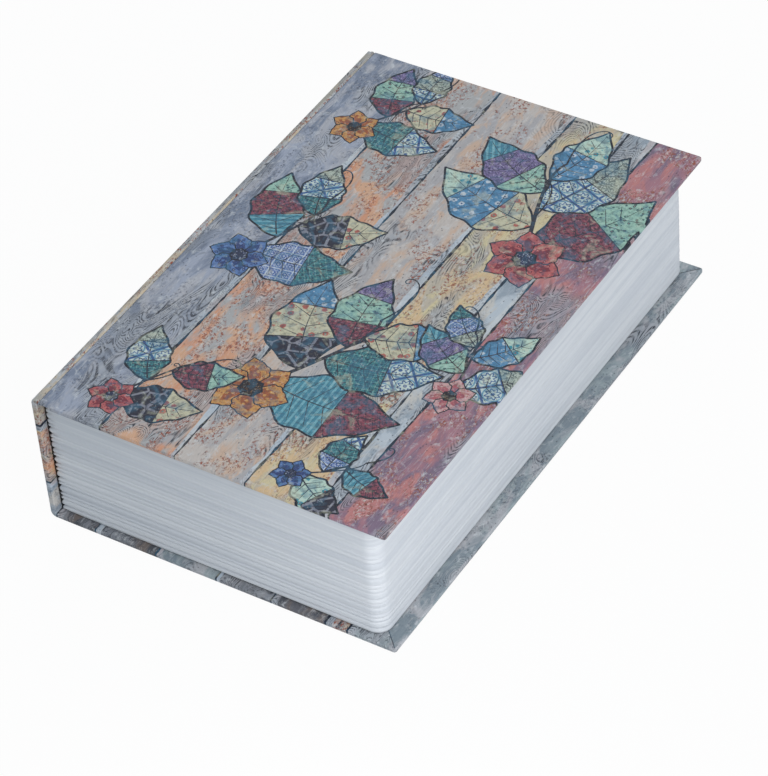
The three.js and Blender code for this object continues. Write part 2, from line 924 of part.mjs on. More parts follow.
function numberWheel(y) {
  const tyre = runAlongY(wheelOutline(), -wheelWidth / 2, wheelWidth / 2, wheelArcSegments);
  const hubEnd = wheelWidth / 2 + wheelHubProud;
  const hub = rodAlongY(0, 0, wheelHubRadius, -hubEnd, hubEnd);
  const bore = rodAlongY(0, 0, axleRadius + runningFit, -wheelWidth, wheelWidth);
  return cut(join(tyre, hub), bore).translate([wheelX, y, wheelZ]);
}

// Ends of the bays that the wheels turn in, one cheek more than there are wheels
function cheekPlaces() {
  return Array.from(
    { length: wheelCount + 1 },
    (_, place) => firstWheelY + wheelPitch / 2 - place * wheelPitch,
  );
}

function wheelAxle() {
  const places = cheekPlaces();
  const end = cheekThickness / 2 + cheekDrop;
  return rodAlongY(wheelX, wheelZ, axleRadius, places[wheelCount] - end, places[0] + end);
}

// A cheek between two wheels, with a saddle that the axle drops into
function housingCheek(y) {
  const lowY = y - cheekThickness / 2;
  const highY = y + cheekThickness / 2;
  const wall = block(
    wheelX - wheelRadius - slotGap,
    wheelX + wheelRadius - cheekThickness,
    lowY,
    highY,
    housingFloorZ - glueFilm,
    housingTopZ - cheekDrop,
  );
  const width = axleRadius + glueFilm;
  const saddle = join(
    rodAlongY(wheelX, wheelZ, width, lowY - 1, highY + 1),
    block(wheelX - width, wheelX + width, lowY - 1, highY + 1, wheelZ, housingTopZ),
  );
  return cut(wall, saddle);
}

// The moulded box under the door that carries the wheels and the bush
function lockHousing() {
  const body = raise(
    roundedRectangle(
      plateX - housingHalfX,
      plateX + housingHalfX,
      housingTailY,
      housingHeadY,
      housingCornerRadius,
    ),
    housingBottomZ,
    housingTopZ,
  );
  const lugs = raise(
    roundedRectangle(
      plateX - lugWidth / 2,
      plateX + lugWidth / 2,
      housingTailY - lugLength,
      housingHeadY + lugLength,
      housingCornerRadius,
    ),
    housingTopZ - lugThickness,
    housingTopZ,
  );
  const hollow = raise(
    roundedRectangle(
      plateX - housingHalfX + housingWall,
      plateX + housingHalfX - housingWall,
      housingTailY + housingWall,
      housingHeadY - housingWall,
      housingCornerRadius - housingWall / 2,
    ),
    housingFloorZ,
    housingTopZ + 1,
  );
  const bossTopZ = housingFloorZ + bushBossHeight;
  const bossRadius = bushRadius + bushBossWall;
  const boss = rodAlongZ(knobX, knobY, bossRadius, housingBottomZ, bossTopZ, largeRoundSegments);
  const cheeks = cheekPlaces().map(housingCheek);
  const bore = rodAlongZ(knobX, knobY, bushRadius + glueFilm, housingBottomZ - 1, bossTopZ + 1);
  const screwHoles = [screwHeadY, screwTailY].map((y) =>
    rodAlongZ(plateX, y, screwShankRadius + screwFit, housingBottomZ, housingTopZ + 1),
  );
  const leverSlot = block(
    wheelX - leverStemLength / 2 - leverGap,
    wheelX + leverStemLength / 2 + leverTravel + leverGap,
    leverY - leverStemWidth / 2 - leverGap,
    leverY + leverStemWidth / 2 + leverGap,
    housingBottomZ - 1,
    housingFloorZ + 1,
  );
  return cut(join(cut(join(body, lugs), hollow), boss, ...cheeks), bore, leverSlot, ...screwHoles);
}

// Sleeve in which the spindle turns
function spindleBush() {
  const flangeZ = plateBottomZ - glueFilm - bushFlangeThickness;
  const flangeRadius = bushRadius + bushFlangeWidth;
  const boreRadius = spindleRadius + runningFit;
  const profile = [
    [boreRadius, housingBottomZ],
    [bushRadius, housingBottomZ],
    [bushRadius, flangeZ],
    [flangeRadius, flangeZ],
    [flangeRadius, flangeZ + bushFlangeThickness],
    [bushRadius, flangeZ + bushFlangeThickness],
    [bushRadius, plateTopZ],
    [boreRadius, plateTopZ],
    [boreRadius, housingBottomZ],
  ];
  return turned(profile, knobX, knobY, smallRoundSegments);
}

// Stepped knob with a fluted skirt and a socket for the spindle
function knob() {
  const low = knobBottomZ;
  const high = low + knobHeight;
  const skirtZ = low + knobSkirtHeight;
  const stepZ = (skirtZ + high) / 2;
  const stepRadius = knobRadius - knobStepWidth;
  const capRadius = knobRadius - knobCapInset;
  const profile = [
    [0, low],
    [knobRadius - knobEdgeRadius, low],
    [knobRadius, low + knobEdgeRadius],
    [knobRadius, skirtZ - knobEdgeRadius],
    [knobRadius - knobEdgeRadius, skirtZ],
    [stepRadius, skirtZ],
    [stepRadius - knobDraft, stepZ],
    [capRadius, stepZ],
    [capRadius - knobDraft, high - knobEdgeRadius],
    [capRadius - knobDraft - knobEdgeRadius, high],
    [0, high],
  ];
  const flutes = [];
  for (let flute = 0; flute < knobFluteCount; flute += 1) {
    const angle = (flute / knobFluteCount) * 2 * Math.PI;
    const reach = knobRadius + knobFluteRadius - knobFluteDepth;
    const x = knobX + reach * Math.cos(angle);
    const y = knobY + reach * Math.sin(angle);
    flutes.push(rodAlongZ(x, y, knobFluteRadius, low - 1, stepZ, fluteSegments));
  }
  const socket = rodAlongZ(
    knobX,
    knobY,
    spindleRadius + glueFilm,
    low - 1,
    low + spindleSocketDepth + glueFilm,
  );
  return cut(turned(profile, knobX, knobY), ...flutes, socket);
}

// Spindle with a square end for the cam and a tapped hole for its screw
function spindle() {
  const squareTopZ = camTopZ + glueFilm;
  const half = camSquare / 2;
  const rod = rodAlongZ(knobX, knobY, spindleRadius, squareTopZ, knobBottomZ + spindleSocketDepth);
  const square = block(knobX - half, knobX + half, knobY - half, knobY + half, camBottomZ, squareTopZ);
  const hole = rodAlongZ(
    knobX,
    knobY,
    camScrewRadius + glueFilm,
    camBottomZ - 1,
    camBottomZ + camScrewDepth,
  );
  return cut(join(rod, square), hole);
}

// Outline of two circles and the lines that touch both, with the second circle towards the tail
function camOutline() {
  const tipDistance = camReach - camTipRadius;
  const spread = Math.acos((camHubRadius - camTipRadius) / tipDistance);
  const towardsTail = -Math.PI / 2;
  const outline = new THREE.Shape();
  outline.absarc(0, 0, camHubRadius, towardsTail + spread, towardsTail - spread + 2 * Math.PI);
  outline.absarc(0, -tipDistance, camTipRadius, towardsTail - spread, towardsTail + spread);
  return outline;
}

function latchCam() {
  const arm = raise(camOutline(), camBottomZ, camTopZ, smallRoundSegments);
  const half = camSquare / 2 + glueFilm;
  const hole = block(-half, half, -half, half, camBottomZ - 1, camTopZ + 1);
  return cut(arm, hole).translate([knobX, knobY, 0]);
}

// A screw with a slotted round head below a given height and its shank above
function slottedScrew(x, y, headTopZ, headRadius, headHeight, shankRadius, shankTopZ) {
  const headZ = headTopZ - headHeight;
  const profile = [
    [0, headZ],
    [headRadius - screwChamfer, headZ],
    [headRadius, headZ + screwChamfer],
    [headRadius, headTopZ],
    [shankRadius, headTopZ],
    [shankRadius, shankTopZ],
    [0, shankTopZ],
  ];
  const half = screwSlotWidth / 2;
  const reach = 2 * headRadius;
  const slot = block(x - half, x + half, y - reach, y + reach, headZ - 1, headZ + headHeight / 2);
  return cut(turned(profile, x, y, smallRoundSegments), slot);
}

function camScrew() {
  const headTopZ = camBottomZ - glueFilm;
  const shankTopZ = camBottomZ + camScrewDepth - glueFilm;
  return slottedScrew(
    knobX,
    knobY,
    headTopZ,
    camScrewHeadRadius,
    camScrewHeadHeight,
    camScrewRadius,
    shankTopZ,
  );
}

function lockScrew(y) {
  const headTopZ = housingTopZ - lugThickness - glueFilm;
  const shankTopZ = plateTopZ - plateSkin - glueFilm;
  return slottedScrew(
    plateX,
    y,
    headTopZ,
    screwHeadRadius,
    screwHeadHeight,
    screwShankRadius,
    shankTopZ,
  );
}

// A strip of even thickness along a path of [x, z] points in the XZ plane
function bentStrip(path, lowY, highY) {
  const curve = new THREE.CatmullRomCurve3(
    path.map(([x, z]) => new THREE.Vector3(x, z, 0)),
    false,
    "centripetal",
  );
  const steps = 3 * path.length;
  const front = [];
  const back = [];
  for (let step = 0; step <= steps; step += 1) {
    const point = curve.getPoint(step / steps);
    const along = curve.getTangent(step / steps);
    const offX = (-along.y * springThickness) / 2;
    const offZ = (along.x * springThickness) / 2;
    front.push([point.x + offX, point.y + offZ]);
    back.unshift([point.x - offX, point.y - offZ]);
  }
  return runAlongY(polygon([...front, ...back]), lowY, highY);
}

// Leaf spring with a foot on the housing floor and a finger for each wheel
function detentSpring() {
  const restZ = housingFloorZ + glueFilm + springThickness / 2;
  const wallX = plateX + housingHalfX - housingWall - springWallGap;
  const riseX = wallX - springFootWidth;
  const tipX = wheelX + wheelRadius + springTipGap + springThickness / 2;
  const startZ = restZ + springThickness / 3;
  const finger = [
    [riseX + springFootWidth / 2, startZ],
    [riseX, startZ + springThickness],
    [tipX + springBow, (restZ + wheelZ) / 2],
    [tipX, wheelZ],
    [tipX + springTipFlare, wheelZ + springTipRise],
  ];
  const half = springFingerWidth / 2;
  const strips = wheelPlaces().map((y) => bentStrip(finger, y - half, y + half));
  const foot = block(
    riseX,
    wallX,
    lastWheelY - half,
    firstWheelY + half,
    housingFloorZ + glueFilm,
    restZ + springThickness / 2,
  );
  return join(foot, ...strips);
}

// Slider that lets a new number be set, held in a slot of the housing floor
function resetLever() {
  const stemLowX = wheelX - leverStemLength / 2;
  const stemHighX = wheelX + leverStemLength / 2;
  const lowY = leverY - leverHeadWidth / 2;
  const highY = leverY + leverHeadWidth / 2;
  const headTopZ = housingBottomZ - leverGap;
  const headBottomZ = headTopZ - leverHeadHeight;
  const keeperZ = housingFloorZ + leverGap;
  const stem = block(
    stemLowX,
    stemHighX,
    leverY - leverStemWidth / 2,
    leverY + leverStemWidth / 2,
    headTopZ - leverHeadHeight / 2,
    keeperZ + leverLip / 2,
  );
  const head = softBlock(
    wheelX - leverHeadLength / 2,
    wheelX + leverHeadLength / 2,
    lowY,
    highY,
    headBottomZ,
    headTopZ,
    leverCornerRadius,
    leverEdgeRadius,
  );
  const keeper = block(
    stemLowX - leverLip,
    stemHighX + leverLip,
    lowY,
    highY,
    keeperZ,
    keeperZ + leverLip,
  );
  const grooves = [-1, 0, 1].map((place) => {
    const lowX = wheelX + place * leverGrooveSpacing - leverGrooveWidth / 2;
    const highX = lowX + leverGrooveWidth;
    return block(lowX, highX, lowY - 1, highY + 1, headBottomZ - 1, headBottomZ + leverGrooveDepth);
  });
  return join(cut(head, ...grooves), stem, keeper);
}

function material(color, roughness, metalness) {
  return new THREE.MeshStandardMaterial({ color, roughness, metalness });
}

const bookSafe = new THREE.Group();

function addPiece(group, name, solid, color, roughness, metalness = 0) {
  const mesh = new THREE.Mesh(toGeometry(solid), material(color, roughness, metalness));
  mesh.name = name;
  group.add(mesh);
}

function addCase() {
  const group = new THREE.Group();
  const spineFeltX = boxInnerSpineX + glueFilm;
  const foreFeltX = boxInnerForeX - glueFilm - feltThickness;
  const feltY = boxInnerHalfY - glueFilm - feltThickness;
  addPiece(group, "case_wrap", caseWrap(), 0x8c8790, 0.6);
  addPiece(group, "back_board", coverBoard(0), 0x8f8a82, 0.9);
  addPiece(group, "spine_board", spineBoard(), 0x8f8a82, 0.9);
  addPiece(group, "back_endpaper", endpaper(coverThickness + glueFilm), 0xe6e4de, 0.8);
  addPiece(group, "page_block", pageBlock(), 0xd6d8de, 0.5);
  addPiece(group, "safe_box", safeBox(), 0x191b20, 0.45, 0.3);
  addPiece(group, "strike_rail", strikeRail(), 0x666b72, 0.5, 0.4);
  addPiece(group, "felt_floor", feltFloor(), 0x101216, 0.95);
  addPiece(group, "felt_wall_spine", feltLongWall(spineFeltX, spineFeltTopZ), 0x101216, 0.95);
  addPiece(group, "felt_wall_fore", feltLongWall(foreFeltX, lowFeltTopZ), 0x101216, 0.95);
  addPiece(group, "felt_wall_head", feltEndWall(feltY), 0x101216, 0.95);
  addPiece(group, "felt_wall_tail", feltEndWall(-feltY - feltThickness), 0x101216, 0.95);
  addPiece(group, "hinge_leaf_box", hingeLeafBox(), 0x5a5f66, 0.45, 0.5);
  addPiece(group, "hinge_pin", hingePin(), 0xb0b4b8, 0.3, 0.9);
  rivetPlaces().forEach((y, place) => {
    addPiece(group, `box_rivet_${place + 1}`, boxRivet(y), 0x9a9ea3, 0.35, 0.8);
  });
  bookSafe.add(group);
}

function addFrontCover() {
  const group = new THREE.Group();
  const paperZ = coverUnderZ - glueFilm - endpaperThickness;
  addPiece(group, "front_wrap", frontWrap(), 0x8c8790, 0.6);
  addPiece(group, "front_board", coverBoard(coverUnderZ), 0x8f8a82, 0.9);
  addPiece(group, "front_endpaper", endpaper(paperZ), 0xe6e4de, 0.8);
  bookSafe.add(group);
}

function addDoor() {
  const group = new THREE.Group();
  addPiece(group, "door_pan", doorPan(), 0x43474e, 0.5, 0.3);
  addPiece(group, "hinge_leaf_door", hingeLeafDoor(), 0x5a5f66, 0.45, 0.5);
  rivetPlaces().forEach((y, place) => {
    addPiece(group, `door_rivet_${place + 1}`, doorRivet(y), 0x9a9ea3, 0.35, 0.8);
  });
  addPiece(group, "lock_plate", lockPlate(), 0x0c0c0e, 0.35);
  addPiece(group, "lock_housing", lockHousing(), 0x15161a, 0.55);
  addPiece(group, "spindle_bush", spindleBush(), 0xb98f45, 0.35, 0.9);
  addPiece(group, "wheel_axle", wheelAxle(), 0xb0b4b8, 0.3, 0.9);
  addPiece(group, "detent_spring", detentSpring(), 0xa9adb2, 0.3, 0.9);
  addPiece(group, "lock_screw_head", lockScrew(screwHeadY), 0xb0b4b8, 0.3, 0.9);
  addPiece(group, "lock_screw_tail", lockScrew(screwTailY), 0xb0b4b8, 0.3, 0.9);
  bookSafe.add(group);
}

function addLatch() {
  const group = new THREE.Group();
  addPiece(group, "knob", knob(), 0x0e0e10, 0.3);
  addPiece(group, "spindle", spindle(), 0xb0b4b8, 0.3, 0.9);
  addPiece(group, "latch_cam", latchCam(), 0xb0b4b8, 0.35, 0.9);
  addPiece(group, "cam_screw", camScrew(), 0xb0b4b8, 0.3, 0.9);
  bookSafe.add(group);
}

function addWheelsAndLever() {
  const group = new THREE.Group();
  wheelPlaces().forEach((y, wheel) => {
    addPiece(group, `number_wheel_${wheel + 1}`, numberWheel(y), 0x101013, 0.4);
  });
  addPiece(group, "reset_lever", resetLever(), 0x2a2c31, 0.5);
  bookSafe.add(group);
}

addCase();
addFrontCover();
addDoor();
addLatch();
addWheelsAndLever();

export default bookSafe;
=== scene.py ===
"""Looks of a book safe.

Lengths are in metres. The print, the covers, the corners from box_mm and every name that ends in
_MM are in mm.
"""
import copy
import json
import math
import random

import bmesh
import bpy
from mathutils import Euler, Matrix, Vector
from mathutils.geometry import delaunay_2d_cdt

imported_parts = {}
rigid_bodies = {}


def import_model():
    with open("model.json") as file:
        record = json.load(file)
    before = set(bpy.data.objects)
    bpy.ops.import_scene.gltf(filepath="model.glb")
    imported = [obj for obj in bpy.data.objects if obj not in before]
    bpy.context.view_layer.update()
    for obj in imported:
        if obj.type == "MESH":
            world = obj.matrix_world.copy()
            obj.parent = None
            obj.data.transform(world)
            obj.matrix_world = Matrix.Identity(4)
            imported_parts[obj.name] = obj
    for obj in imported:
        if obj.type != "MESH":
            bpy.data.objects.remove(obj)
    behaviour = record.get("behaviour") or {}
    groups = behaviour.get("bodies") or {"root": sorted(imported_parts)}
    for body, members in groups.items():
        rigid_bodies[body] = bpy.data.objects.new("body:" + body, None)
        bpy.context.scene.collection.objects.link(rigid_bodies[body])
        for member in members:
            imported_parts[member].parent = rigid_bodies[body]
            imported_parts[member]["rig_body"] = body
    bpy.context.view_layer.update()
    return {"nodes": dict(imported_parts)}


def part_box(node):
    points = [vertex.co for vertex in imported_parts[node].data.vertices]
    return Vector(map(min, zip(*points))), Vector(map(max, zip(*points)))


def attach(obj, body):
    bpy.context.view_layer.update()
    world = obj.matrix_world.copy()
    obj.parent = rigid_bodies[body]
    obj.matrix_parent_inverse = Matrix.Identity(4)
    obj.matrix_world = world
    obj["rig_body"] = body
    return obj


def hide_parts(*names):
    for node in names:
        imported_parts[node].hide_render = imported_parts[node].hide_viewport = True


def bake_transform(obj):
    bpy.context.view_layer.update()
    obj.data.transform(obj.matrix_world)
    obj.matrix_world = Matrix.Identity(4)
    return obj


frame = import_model()

MM = 0.001
SCENE = bpy.context.scene

# Vertices nearer to each other than this are merged, and shorter edges are dissolved
SAME_PLACE = 1e-6
SAME_PRINT_PLACE = 2e-7
TINY_EDGE = 1e-8

# The photograph's camera
SENSOR_WIDTH = 36.0
CAMERA_LENS = 165.953
CAMERA_SHIFT = (-0.0091218, 0.0144897)
CAMERA_PLACE = (0.598457, -0.854986, 0.951007)
CAMERA_TURN_DEGREES = (47.39585, 3.75455, 31.46275)
CAMERA_CLIP = (0.05, 20)


def linear(red, green, blue):
    """A colour of 0 to 255 as seen, in the renderer's linear values."""
    def channel(value):
        value /= 255
        return value / 12.92 if value <= 0.04045 else ((value + 0.055) / 1.055) ** 2.4
    return (channel(red), channel(green), channel(blue), 1.0)


# Node trees

class Flow:
    """What a node gives, with plain arithmetic that adds nodes to its tree."""

    def __init__(self, nodes, socket):
        self.nodes = nodes
        self.socket = socket

    def math(self, operation, other=0.0):
        return self.nodes.node("ShaderNodeMath", {0: self, 1: other}, operation=operation)

    def __add__(self, other):
        return self.math("ADD", other)

    def __sub__(self, other):
        return self.math("SUBTRACT", other)

    def __mul__(self, other):
        return self.math("MULTIPLY", other)

    def __lt__(self, other):
        return self.math("LESS_THAN", other)

    def __gt__(self, other):
        return self.math("GREATER_THAN", other)

    def __abs__(self):
        return self.math("ABSOLUTE")

    def between(self, low, high, to_low=0.0, to_high=1.0):
        """The value's way from low to high, held within the two results."""
        inputs = {0: self, 1: low, 2: high, 3: to_low, 4: to_high}
        return self.nodes.node("ShaderNodeMapRange", inputs)


class Nodes:
    """A node tree under construction, with short calls for its nodes."""

    def __init__(self, tree):
        self.tree = tree

    def plug(self, socket, value):
        if isinstance(value, Flow):
            self.tree.links.new(value.socket, socket)
        else:
            socket.default_value = value

    def node(self, kind, inputs=(), output=0, **settings):
        """What a new node gives. Its inputs and its output go by name or by number."""
        made = self.tree.nodes.new(kind)
        for name, value in settings.items():
            setattr(made, name, value)
        for name, value in dict(inputs).items():
            self.plug(made.inputs[name], value)
        return Flow(self, made.outputs[output])

    def split(self, vector):
        """The three parts of a vector."""
        parts = self.node("ShaderNodeSeparateXYZ", {0: vector}).socket.node.outputs
        return [Flow(self, part) for part in parts]

    def stretched(self, place, scale, shift=(0, 0, 0)):
        """The place with each direction multiplied, which squeezes a pattern along it."""
        return self.node("ShaderNodeMapping", {"Vector": place, "Scale": scale, "Location": shift})

    def noise(self, place, scale, detail=3.0, roughness=0.5, distortion=0.0, shift=(0, 0, 0)):
        """Uneven clouds. A scale of three numbers squeezes them along each direction."""
        if isinstance(scale, tuple):
            place = self.stretched(place, scale, shift)
            scale = 1.0
        inputs = {
            "Vector": place, "Scale": scale, "Detail": detail,
            "Roughness": roughness, "Distortion": distortion,
        }
        return self.node("ShaderNodeTexNoise", inputs, "Fac")


# Materials

MATERIALS = {}


class Finish(Nodes):
    """A material under construction."""

    def __init__(self, name):
        self.material = MATERIALS[name] = bpy.data.materials.new(name)
        self.material.use_nodes = True
        super().__init__(self.material.node_tree)
        self.surface = self.tree.nodes["Principled BSDF"]

    def set(self, name, value):
        self.plug(self.surface.inputs[name], value)

    def object_place(self):
        return self.node("ShaderNodeTexCoord", output="Object")

    def attribute(self, name, output="Color"):
        return self.node("ShaderNodeAttribute", output=output, attribute_name=name)

    def cells(self, place, scale, feature="F1"):
        """Distances to scattered points, or to the edges between them."""
        inputs = {"Vector": place, "Scale": scale}
        return self.node("ShaderNodeTexVoronoi", inputs, "Distance", feature=feature)

    def mix(self, share, *colours):
        """A share of the second colour over the first. Plain colours go from 0 to 255 as seen."""
        first, second = [linear(*c) if isinstance(c, tuple) else c for c in colours]
        return self.node("ShaderNodeMix", {0: share, 6: first, 7: second}, 2, data_type="RGBA")

    def done(self, colour, roughness, relief=None, depth=0.0, strength=1.0):
        """Ends the material with its colour, its roughness and the relief of its surface."""
        self.set("Base Color", colour)
        self.set("Roughness", roughness)
        if relief is not None:
            inputs = {"Strength": strength, "Distance": depth, "Height": relief}
            self.set("Normal", self.node("ShaderNodeBump", inputs))


DARK_GRAIN = (44, 47, 58)
GREYED_WOOD = (167, 170, 177)
CHALK = (214, 216, 219)
PALE_CHIP = (208, 203, 198)
RUST = (156, 86, 66)
SLATE = (72, 80, 100)
YEAR_RINGS = 230.0
INK_PARTS = ("ground", "figure", "accent")
SOLID, STRIPES, TILE, FLORAL, QUILT, LACE, CRACKLE = range(1, 8)
RUSTY, SLATY = 0.0, 0.25


def plank_paint(finish, place, ground, figure, accent, kind):
    """Weathered paint on old planks, from a place in mm on the unrolled sheet."""
    clouds = finish.noise(place, (0.08, 0.028, 1), 5.0, 0.62, 1.0)
    paint = finish.mix(clouds.between(0.45, 0.55), ground, figure)
    drift = finish.noise(place, (0.11, 0.04, 1), 5.0, 0.62, 0.8, (40, 9, 0))
    paint = finish.mix(drift.between(0.5, 0.6, 0.0, 0.95), paint, accent)
    grain = finish.noise(place, (1.2, 0.09, 1), 5.0, 0.7, 1.2)
    paint = finish.mix(grain.between(0.56, 0.72, 0.0, 0.38), paint, DARK_GRAIN)
    paint = finish.mix(grain.between(0.45, 0.32, 0.0, 0.42), paint, CHALK)

    zone = finish.noise(place, (0.036, 0.02, 1), 2.0, 0.5, 0.4, (7, 70, 0))
    paint = finish.mix(zone.between(0.5, 0.58, 0.0, 0.65), paint, GREYED_WOOD)
    swirl = finish.noise(place, (0.06, 0.02, 1), 1.0, 0.4, 1.2, (3, 33, 0))
    rings = (swirl * YEAR_RINGS).math("SINE").between(-0.1, 0.6)
    inked = rings * grain.between(0.62, 0.42) * zone.between(0.49, 0.55, 0.08, 1.0)
    paint = finish.mix(inked, paint, DARK_GRAIN)

    fleck = finish.mix(kind.between(0.1, 0.2), RUST, SLATE)
    crowd = finish.noise(place, (0.075, 0.04, 1), 4.0, 0.62, 0.6, (90, 50, 0))
    crowded = crowd.between(0.49, 0.57) * kind.between(0.1, 0.2, 1.0, 0.4)
    crust = finish.noise(place, (0.8, 0.6, 1), 4.0, 0.72, 0.5)
    chips = finish.noise(place, (0.8, 0.55, 1), 4.0, 0.7, 0.5, (12, 60, 0))
    paint = finish.mix(crust.between(0.515, 0.54, 0.0, 0.5) * crowded, paint, DARK_GRAIN)
    paint = finish.mix(crust.between(0.545, 0.57, 0.0, 0.95) * crowded, paint, fleck)
    paint = finish.mix(chips.between(0.55, 0.61, 0.0, 0.75) * crowded, paint, PALE_CHIP)
    pits = finish.cells(finish.stretched(place, (0.5, 0.34, 1)), 1.0)
    paint = finish.mix(pits.between(0.17, 0.1, 0.0, 0.6), paint, DARK_GRAIN)
    worn = finish.noise(place, (0.3, 0.2, 1), 5.0, 0.7, 0.4, (5, 25, 0))
    return finish.mix(worn.between(0.56, 0.7, 0.0, 0.65), paint, CHALK)


def patch_paint(finish, patch, ground, figure, accent, kind):
    """The six cloth-like patterns of the motifs, from a place counted in pattern repeats."""
    across, along, _ = finish.split(patch)
    cell_x, cell_y = [way.math("FRACT") - 0.5 for way in (across, along)]
    reach = (cell_x * cell_x + cell_y * cell_y).math("SQRT")
    edge = abs(cell_x).math("MAXIMUM", abs(cell_y))
    lobes = (cell_y.math("ARCTAN2", cell_x) * 8.0).math("COSINE")
    flower = abs(reach - (lobes * 0.06 + 0.27)) < 0.04
    tile = flower.math("MAXIMUM", reach < 0.09).math("MAXIMUM", edge > 0.44)
    wave, counter = [(way * (2 * math.pi)).math("SINE") for way in (across, along)]
    scatter = finish.cells(patch, 1.35)
    torn = finish.noise(patch, 5.0, 2.0) * 0.3 + scatter
    dots = finish.cells(patch, 3.1).between(0.2, 0.14)
    patterns = (
        (wave.between(-0.1, 0.3), abs(wave) < 0.12),
        (tile, abs(reach - 0.42) < 0.035),
        (torn.between(0.5, 0.44).math("MAXIMUM", dots), scatter.between(0.13, 0.09)),
        (finish.noise(patch, 4.0, 3.0, 0.7).between(0.5, 0.56), abs(wave * counter) < 0.06),
        (
            finish.noise(patch, 3.4, 4.0, 0.75, 1.2).between(0.5, 0.54),
            finish.cells(patch, 2.4).between(0.2, 0.15),
        ),
        (
            finish.cells(patch, 0.8, "DISTANCE_TO_EDGE").between(0.07, 0.045),
            finish.cells(patch, 2.6).between(0.16, 0.1),
        ),
    )
    for number, (first, second) in enumerate(patterns, STRIPES):
        above, below = kind > number - 0.5, kind < number + 0.5
        chosen = above * below
        ground = finish.mix(chosen * first, ground, figure)
        ground = finish.mix(chosen * second, ground, accent)
    return ground


def printed_paper():
    """Laminated paper with painted planks and the patchwork motifs inked on it."""
    finish = Finish("printed_paper")
    finish.set("Specular IOR Level", 0.3)
    sheet, patch = [finish.node("ShaderNodeUVMap", uv_map=name) for name in ("sheet", "patch")]
    inks = [finish.attribute(f"ink_{part}") for part in INK_PARTS]
    kind = finish.attribute("ink_kind", "Fac")
    planks = plank_paint(finish, patch, *inks, kind)
    motifs = patch_paint(finish, patch, *inks, kind)
    tint = finish.noise(sheet, (130, 130, 1), 4.0, 0.6, 0.8)
    motifs = finish.mix(tint.between(0.5, 0.62, 0.0, 0.5), motifs, (64, 118, 146))
    motifs = finish.mix(tint.between(0.44, 0.34, 0.0, 0.45), motifs, (196, 196, 172))
    wash = finish.noise(sheet, (420, 420, 1), 5.0, 0.75)
    motifs = finish.mix(wash.between(0.48, 0.62, 0.0, 0.5), motifs, (56, 60, 76))
    motifs = finish.mix(wash.between(0.44, 0.34, 0.0, 0.4), motifs, (206, 208, 208))
    colour = finish.mix(kind > SOLID - 0.5, planks, motifs)
    weave = finish.noise(sheet, (2600, 2600, 1), 2.0)
    finish.done(colour, weave.between(0.3, 0.7, 0.44, 0.58), weave, 0.02 * MM, 0.4)


def page_material():
    """White moulding with soft scuffs along the page lines, and darker bluish bands painted in as the
    shade of the ribs.
    """
    finish = Finish("page_plastic")
    place = finish.object_place()
    lines = finish.noise(place, (7, 7, 1500), 3.0, 0.6)
    bands = finish.noise(place, (5, 5, 420), 2.0, 0.6)
    scuffs = finish.noise(place, (90, 90, 900), 4.0, 0.6)
    broad_rib_shade = finish.noise(place, (9, 9, 150), 2.0)
    white = finish.mix(lines.between(0.3, 0.7), (224, 226, 229), (213, 215, 220))
    # painted shade: darker bluish bands along the page lines, at two widths, stand in for the shade of
    # rib groups
    white = finish.mix(bands.between(0.4, 0.64, 0.0, 0.6), white, (193, 197, 205))
    white = finish.mix(scuffs.between(0.55, 0.75, 0.0, 0.25), white, (192, 196, 203))
    white = finish.mix(broad_rib_shade.between(0.46, 0.62, 0.0, 0.4), white, (199, 203, 210))
    finish.done(white, scuffs.between(0.3, 0.7, 0.3, 0.46), lines, 0.05 * MM, 0.35)


def paper_material():
    finish = Finish("endpaper")
    pulp = finish.noise(finish.object_place(), 900.0, 4.0, 0.7)
    colour = finish.mix(pulp.between(0.4, 0.62), (232, 230, 224), (220, 217, 209))
    finish.done(colour, 0.85, pulp, 0.02 * MM, 0.5)


def powder_coat(name, colour, glint, roughness):
    """Baked powder paint, with its orange-peel and small glints."""
    finish = Finish(name)
    place = finish.object_place()
    peel = finish.noise(place, 1400.0, 2.0)
    grit = finish.noise(place, 4200.0, 2.0)
    rubbed = finish.noise(place, 45.0, 4.0, 0.6)
    paint = finish.mix(grit.between(0.62, 0.75, 0.0, 0.6), colour, glint)
    paint = finish.mix(rubbed.between(0.52, 0.75, 0.0, 0.16), paint, glint)
    shine = rubbed.between(0.3, 0.7, roughness - 0.06, roughness + 0.08)
    finish.done(paint, shine, peel + grit * 0.4, 0.05 * MM, 0.7)


def plated_steel():
    finish = Finish("plated_steel")
    finish.set("Metallic", 1.0)
    place = finish.object_place()
    brush = finish.noise(place, (300, 5200, 5200), 3.0, 0.6)
    cloud = finish.noise(place, 220.0, 3.0, 0.6).between(0.35, 0.7)
    colour = finish.mix(cloud, (196, 198, 202), (168, 170, 172))
    finish.done(colour, brush.between(0.3, 0.7, 0.26, 0.42), brush, 0.01 * MM, 0.5)


def brass():
    finish = Finish("bush_brass")
    finish.set("Metallic", 1.0)
    turned = finish.noise(finish.object_place(), (200, 200, 6000), 2.0)
    colour = finish.mix(turned, (206, 166, 92), (184, 142, 72))
    finish.done(colour, turned.between(0.3, 0.7, 0.25, 0.4))


def felt():
    finish = Finish("felt")
    finish.set("Sheen Weight", 0.35)
    finish.set("Sheen Roughness", 0.6)
    place = finish.object_place()
    fibres = finish.noise(place, 2600.0, 5.0, 0.8, 2.0)
    lint = finish.noise(place, 260.0, 4.0, 0.6).between(0.6, 0.8, 0.0, 0.25)
    cloth = finish.mix(fibres.between(0.4, 0.7), (17, 18, 22), (44, 46, 52))
    finish.done(finish.mix(lint, cloth, (64, 66, 72)), 0.95, fibres, 0.25 * MM, 0.8)


